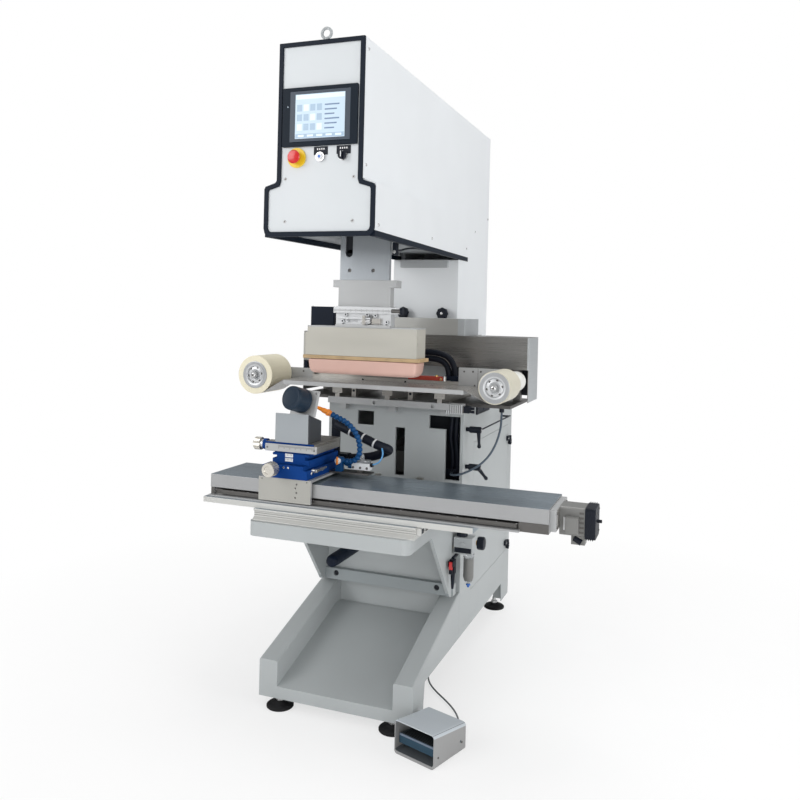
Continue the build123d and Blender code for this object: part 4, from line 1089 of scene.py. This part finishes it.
def sample_cap():
    """A turned black cap on the slanting holder, open towards the operator."""
    outward = Vector((-0.2496, -0.934, 0.2556))
    base = Vector((-126, 190, 1014)) + outward * 13
    cap = Shape()
    cap.turn([(37.2, 0), (40, 0), (40.4, 3), (40.4, 10), (39.2, 11), (39.3, 44), (39.2, 52), (38.4, 56.8),
              (35.5, 59.4), (31.5, 60), (28.5, 58.6), (25, 57.6), (0, 57.3), (0, 56.5), (37.2, 56.5),
              (37.2, 0)], base, outward, "cap_plastic", steps=64)
    cap.replace("sample_cap", "top_slide", "dark_plastic")


def air_parts():
    air = Shape()
    air.box(-82, 60, 290, 344, 770, 775, "dark_steel", 0.6)
    air.box(-60, -36, 289, 311, 775, 824, "hose_blue", 2.5)
    air.turn([(0, 0), (9, 0), (10.4, 3), (10.4, 8), (7, 10), (0, 10)], (-48, 290, 812), FRONT,
             "white_plastic")
    air.box(-8, 56, 307, 335, 783, 806, "white_plastic", 1.6)
    air.box(-6, 54, 308, 334, 806, 816, "clear_plastic", 2.0)
    air.box(10, 30, 312, 330, 775, 784, "dark_steel", 0.6)
    air.turn([(0, 0), (12.8, 0), (13, 2), (12.4, 14), (9, 19), (0, 20)], (20, 321, 816), UP,
             "clear_plastic")
    for x in (-2, 24, 48):
        air.rod((x, 307, 791), FRONT, 4.2, 1.4, "dark_steel", 0.3, sides=16)
    air.rod((-8, 320, 792), LEFT, 8, 16, "hose_blue", 1, sides=20)
    air.rod((-24, 318, 796), (-1, 0, 0.2), 6, 12, "hose_blue", 1, sides=20)
    air.rod((56, 320, 800), (1, 0, 0.3), 7, 8, "dark_plastic", 0.8, sides=18)
    air.hose([(60, 320, 802), (80, 322, 806), (92, 326, 822), (96, 332, 842), (88, 340, 856)], "tube_blue",
              2.6)
    route = [(-36, 300, 812), (-8, 300, 808), (18, 300, 822), (26, 300, 850), (20, 300, 886),
             (4, 300, 914), (-24, 300, 940), (-56, 298, 954), (-88, 294, 968)]
    for spot, direction in samples(route, 14.5):
        air.turn([(4.4, -7.2), (6.0, -7.2), (7.4, -5.2), (9.2, -2.6), (9.8, 1.4), (9.0, 4.6), (6.6, 7.2),
                  (4.4, 7.6), (4.4, -7.2)], spot, direction, "hose_blue", steps=20)
    tip = Vector((-0.83, -0.36, 0.43)).normalized()
    start = Vector((-88, 294, 968))
    air.turn([(4, 0), (11, 0), (11.4, 2), (11.4, 8), (9, 10), (8.6, 22), (6.6, 28), (6.4, 36), (4, 48),
              (3, 58), (2, 58), (2, 0)], start, tip, "orange_plastic", steps=24)
    air.rod(start - tip * 6, tip, 9.6, 6, "orange_plastic", 1, sides=24)
    air.replace("air_fittings", "table_carriage", "white_plastic")
    tap = Shape()
    tap.rod((-48, 296.5, 812), FRONT, 4, 17.5, "orange_plastic")
    tap.box(-51, -45, 276, 282, 800, 826, "orange_plastic", 1.6)
    tap.replace("hose_tap", "hose_tap", "orange_plastic")

    arm = Shape()
    arm.box(-128, -98, 400, 412, 755, 940, "dark_plastic", 1)
    arm.box(-128, -98, 392, 412, 755, 768, "dark_plastic", 1)
    arm.box(-128, -72, 412, 452, 775, 812, "dark_plastic", 2)
    route = [(-112, 406, 916), (-72, 399, 902), (-30, 392, 888), (10, 388, 874), (54, 384, 858),
             (86, 392, 848), (84, 424, 836), (44, 438, 818), (10, 440, 806), (-30, 440, 799),
             (-70, 440, 794)]
    arm.hose(route, "cable_dark", 15.4, sides=18, ribs=0.5, gap=3.2)
    for x, y, z in ((-50, 395, 895), (0, 389, 878), (44, 385, 862)):
        arm.turn([(14.4, -3), (16.4, -3), (16.4, 3), (14.4, 3), (14.4, -3)], (x, y, z),
                 (0.93, -0.12, -0.34), "white_plastic", steps=24)
    arm.replace("cable_arm", "table_carriage", "dark_plastic")


# Service unit
def service_unit():
    unit = Shape()
    unit.box(262, 332, 618, 668, 452, 512, "cast_grey", 2.5)
    unit.box(238, 294, 666, 680, 446, 486, "aluminium", 0.8)
    unit.box(266, 328, 616.6, 618.4, 458, 476, "dark_plastic", 0.6)
    for x in (276, 316):
        unit.rod((x, 618, 500), FRONT, 5, 2.4, "cast_grey", 0.5, sides=20)
    unit.rod((297, 618, 488), FRONT, 9, 5, "cast_grey", 0.8, sides=28)
    unit.turn([(0, 0), (20, 0), (20, 12), (17.6, 14), (17, 24), (17, 88), (13, 100), (7, 105), (0, 107)],
              (314, 640, 452), DOWN, "clear_plastic", steps=36)
    unit.turn([(16.2, 16), (18.6, 17), (18.6, 84), (15, 96), (14.4, 95), (16.2, 82), (16.2, 16)],
              (314, 640, 452), DOWN, "motor_paint", steps=20)
    unit.box(264, 284, 562, 584, 394, 446, "dark_plastic", 2.2)
    unit.box(264, 267, 546, 564, 424, 444, "dark_plastic", 0.6)
    unit.box(281, 284, 546, 564, 424, 444, "dark_plastic", 0.6)
    unit.turn([(0, 0), (8, 0), (7.4, 10), (5.6, 40), (4, 54), (0, 55)], (275, 574, 395), DOWN,
              "dark_plastic", steps=28)
    unit.rod((264, 552, 436), RIGHT, 2.5, 20, "bright_steel", sides=16)
    unit.box(269, 279, 574, 664, 446, 451.9, "dark_plastic", 0.8)
    unit.turn([(0, 0), (7, 0), (8, 2), (8, 6), (4, 8), (4, 13), (0, 13)], (314, 640, 345), DOWN,
              "button_blue", steps=20)
    unit.box(312, 316, 621.8, 623, 372, 424, "dark_plastic", 0.3)
    unit.rod((262, 640, 470), LEFT, 7, 12, "brass", 0.8, sides=18)
    unit.replace("air_unit", "stand", "motor_paint")
    knob = Shape()
    knob.turn([(0, -10), (8, -10), (8, 0.5), (18, 0.5), (20, 2), (20, 27), (18, 31), (10, 32.5),
               (0, 32.5)], (288, 640, 512), UP, "dark_plastic", flutes=16, flute_depth=1.1,
              flute_from=17.5)
    knob.replace("regulator_knob", "regulator_knob", "dark_plastic")
    trigger = Shape()
    trigger.box(267.5, 280.5, 548, 556, 414, 441, "red_plastic", 1.2)
    trigger.box(267.9, 280.1, 548.4, 555.6, 398, 415, "dark_plastic", 1.2)
    trigger.replace("gun_trigger", "gun_trigger", "red_plastic")


# Foot switch and cords
def foot_switch():
    def guard_details(shape):
        turn = PEDAL_PLACE.to_3x3()
        for y in (20, 138):
            for x, out in ((0, LEFT), (148, RIGHT)):
                socket_screw(shape, PEDAL_PLACE @ Vector((x, y, 30)), turn @ Vector(out), 3.4, 1.6,
                             "dark_steel")
        gland = PEDAL_PLACE @ Vector((74, 158, 16))
        back = turn @ Vector(BACK)
        shape.turn([(0, 0), (9, 0), (9, 3), (6.6, 4), (5, 8), (3.4, 18), (0, 18)], gland, back,
                   "black_rubber")

    def guard_finish(centre, face):
        spot = PEDAL_PLACE.inverted() @ face
        # Inside faces get painted shade, faces above z 80 painted light, the rest the sides' painted shade
        if 3.2 < spot.x < 144.8 and spot.y > 1 and 8.9 < spot.z < 89.6:
            return "guard_inner_shade"
        return "guard_top_light" if spot.z > 80 else "guard_side_shade"

    dressed("pedal_guard", "stand", "stand_paint", guard_finish, 1.0, extra=guard_details)

    def treadle_ribs(shape):
        def pedal_box(x0, x1, y0, y1, z0, z1, name, width):
            solid = corner_box(x0, x1, y0, y1, z0, z1)
            solid.transform(PEDAL_PLACE)
            shape.add(solid, name, width)

        # The front skirt in the painted shade copy; the lip above it in the treadle paint
        pedal_box(8.2, 139.8, 13.4, 14.4, 29.2, 52, "treadle_skirt_shade", 0.4)
        pedal_box(8, 140, 13, 17, 51, 57.4, "treadle_paint", 1)
        for number in range(11):
            y = 22 + number * 8
            z = 57 - (y - 14) * 16 / 106
            pedal_box(16, 132, y, y + 3, z - 1, z + 1, "black_rubber", 0.4)

    # The treadle's own faces take the painted shade copy for its top
    dressed("pedal_treadle", "pedal_treadle", "treadle_paint", "treadle_top_shade", 1.0, extra=treadle_ribs)


def cord_piece(name, route, radius, node, finish_name):
    data = spline([tuple(framed(*point)) for point in route], name)
    data.bevel_depth = radius / 1000
    data.bevel_resolution = 4
    data.use_fill_caps = True
    data.materials.append(FINISHES[finish_name])
    piece = bpy.data.objects.new(name, data)
    bpy.context.scene.collection.objects.link(piece)
    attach(piece, "stand")
    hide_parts(node)


def cords():
    pedal_route = [(375.12, 218.2, 16), (386.08, 250.01, 16), (389, 288, 6), (376, 343, 3),
                   (345, 398, 3), (300, 450, 3), (250, 498, 3), (206, 550, 3), (180, 608, 5),
                   (168, 660, 20), (166, 698, 56), (166, 706, 98), (166, 706, 110)]
    side_route = [(405, 712, 958), (405, 712, 922), (400, 706, 880), (388, 696, 838), (369, 682, 800),
                  (340, 667, 768), (306, 658, 746), (277, 656, 732), (259, 656, 727), (242, 663, 723),
                  (229, 676, 721), (222, 693, 720), (222, 710, 720)]
    cord_piece("pedal_cord_piece", pedal_route, 2.75, "pedal_cord", "cable_grey")
    cord_piece("side_cable_piece", side_route, 4.0, "side_cable", "cable_blue")


# Studio
def floor_finish():
    """White to the eye, with part of the shadow kept."""
    material = finish("floor_white", (0.92, 0.92, 0.92), 0.9, bump=0.0, drift=0.01)
    tree = material.node_tree
    path = tree.nodes.new("ShaderNodeLightPath")
    glow = tree.nodes.new("ShaderNodeEmission")
    both = tree.nodes.new("ShaderNodeMixShader")
    place = tree.nodes.new("ShaderNodeTexCoord")
    distance = vector_step(tree, "LENGTH")
    fade = add_node(tree, "MapRange", From_Min=FADE_START, From_Max=FADE_END, To_Min=SHADOW_SHARE,
                    To_Max=1.0)
    share = number_step(tree, "MULTIPLY")
    join(tree, (place, "Object", distance, 0), (distance, "Value", fade, "Value"),
         (path, "Is Camera Ray", share, 0), (fade, "Result", share, 1), (share, "Value", both, "Fac"),
         (tree.nodes["Principled BSDF"], "BSDF", both, 1), (glow, "Emission", both, 2),
         (both, "Shader", tree.nodes["Material Output"], "Surface"))
    return material


def add_camera(scene):
    data = bpy.data.cameras.new("view")
    data.lens = LENS
    data.sensor_width = SENSOR
    data.shift_y = CAMERA_SHIFT
    data.clip_end = FAR
    camera = bpy.data.objects.new("view", data)
    scene.collection.objects.link(camera)
    camera.location = framed(*CAMERA_AT)
    camera.rotation_euler = (pi / 2, CAMERA_ROLL, CAMERA_YAW)
    scene.camera = camera


def add_lamps(scene, level):
    for name, spot, power, size in LAMPS:
        data = bpy.data.lights.new(name, "AREA")
        data.energy = power * level
        data.size = size
        lamp = bpy.data.objects.new(name, data)
        scene.collection.objects.link(lamp)
        lamp.location = spot
        sight = Vector(LAMP_TARGET) - Vector(spot)
        lamp.rotation_euler = sight.to_track_quat("-Z", "Y").to_euler()


def add_world(scene, level):
    """Grey below and white above for the light, plain white to the eye and through clear parts."""
    world = bpy.data.worlds.new("studio")
    scene.world = world
    world.use_nodes = True
    tree = world.node_tree
    fill = tree.nodes["Background"]
    fill.inputs["Strength"].default_value = SKY_LEVEL * level
    sight = add_node(tree, "Background", Color=(1, 1, 1, 1), Strength=1.0)
    mix = tree.nodes.new("ShaderNodeMixShader")
    path = tree.nodes.new("ShaderNodeLightPath")
    place = tree.nodes.new("ShaderNodeTexCoord")
    split = tree.nodes.new("ShaderNodeSeparateXYZ")
    ramp = tree.nodes.new("ShaderNodeValToRGB")
    low, high = ramp.color_ramp.elements
    low.position, low.color = 0.0, SKY_LOW
    high.position, high.color = 0.75, (1, 1, 1, 1)
    seen = number_step(tree, "MAXIMUM")
    join(tree, (place, "Generated", split, "Vector"), (split, "Z", ramp, "Fac"),
         (ramp, "Color", fill, "Color"), (path, "Is Camera Ray", seen, 0),
         (path, "Is Transmission Ray", seen, 1), (seen, "Value", mix, "Fac"),
         (fill, "Background", mix, 1), (sight, "Background", mix, 2),
         (mix, "Shader", tree.nodes["World Output"], "Surface"))


def add_floor(scene):
    ground = bmesh.new()
    bmesh.ops.create_grid(ground, x_segments=1, y_segments=1, size=FLOOR_HALF)
    mesh = bpy.data.meshes.new("floor")
    ground.to_mesh(mesh)
    ground.free()
    mesh.materials.append(floor_finish())
    floor = bpy.data.objects.new("floor", mesh)
    scene.collection.objects.link(floor)
    floor.location.z = FLOOR_DROP


def studio(level):
    scene = bpy.context.scene
    scene.view_settings.view_transform = "Standard"
    add_camera(scene)
    add_lamps(scene, level)
    add_world(scene, level)
    add_floor(scene)


# Add-on
class MachineSettings(bpy.types.PropertyGroup):
    light_level: bpy.props.FloatProperty(
        name="Light level", description="Brightness of the lamps and the studio", default=1.0,
        min=0.1, max=3.0)


def operator(label, idname, action, text):
    """One operator class for a group of pieces."""
    def execute(self, context):
        action()
        return {"FINISHED"}

    return type("MACHINE_OT_" + idname, (bpy.types.Operator,),
                {"bl_idname": "machine." + idname, "bl_label": label, "__doc__": text, "execute": execute})


STEPS = [
    ("Finishes", "finishes", make_finishes, "Make the materials"),
    ("Head", "head", head_shell, "Head covers, trim, front panel, lifting eye and screws"),
    ("Controls", "controls", control_panel, "Touch screen, stop cap, button and selector"),
    ("Column knobs", "column_knobs", column_fittings, "Two knobs on the column"),
    ("Hood and bed", "hood", hood_and_bed, "Stainless hood and the bed under the carriage"),
    ("Stand", "stand", stand_body, "Foot tray, stand, cabinet and feet"),
    ("Side fittings", "side", side_fittings, "Door, knob, levers and sockets"),
    ("Arm and pad", "arm", arm_and_pad, "Sliding arm, pad slide, backing and pad"),
    ("Tape carriage", "carriage", tape_carriage, "Carriage, rolls, web and conduits"),
    ("Knee and axis", "knee", knee_and_axis, "Knee, beam, linear axis and motor"),
    ("Cross table", "cross_table", cross_table, "Saddle, cross table, scales and knobs"),
    ("Sample cap", "sample", sample_cap, "The cap to be printed"),
    ("Air parts", "air", air_parts, "Blow hose, valve, filter and cable arm"),
    ("Service unit", "service", service_unit, "Air regulator, bowl and blow gun"),
    ("Foot switch", "foot_switch", foot_switch, "Guard and treadle"),
    ("Cords", "cords", cords, "Foot switch cord and side cable"),
]
OPERATORS = [operator(label, idname, action, text) for label, idname, action, text in STEPS]


class MACHINE_OT_studio(bpy.types.Operator):
    """Camera, lamps, floor and background"""
    bl_idname = "machine.studio"
    bl_label = "Studio"

    def execute(self, context):
        studio(context.scene.machine.light_level)
        return {"FINISHED"}


class MACHINE_PT_panel(bpy.types.Panel):
    """Lists the building steps"""
    bl_idname = "MACHINE_PT_panel"
    bl_label = "Pad printing machine"
    bl_space_type = "VIEW_3D"
    bl_region_type = "UI"
    bl_category = "Machine"

    def draw(self, context):
        self.layout.prop(context.scene.machine, "light_level")
        for item in OPERATORS + [MACHINE_OT_studio]:
            self.layout.operator(item.bl_idname)


CLASSES = [MachineSettings, *OPERATORS, MACHINE_OT_studio, MACHINE_PT_panel]


def register():
    for item in CLASSES:
        bpy.utils.register_class(item)
    bpy.types.Scene.machine = bpy.props.PointerProperty(type=MachineSettings)


def unregister():
    del bpy.types.Scene.machine
    for item in reversed(CLASSES):
        bpy.utils.unregister_class(item)


def main():
    register()
    for _, idname, _, _ in STEPS:
        getattr(bpy.ops.machine, idname)()
    bpy.ops.machine.studio()


if __name__ == "__main__":
    main()
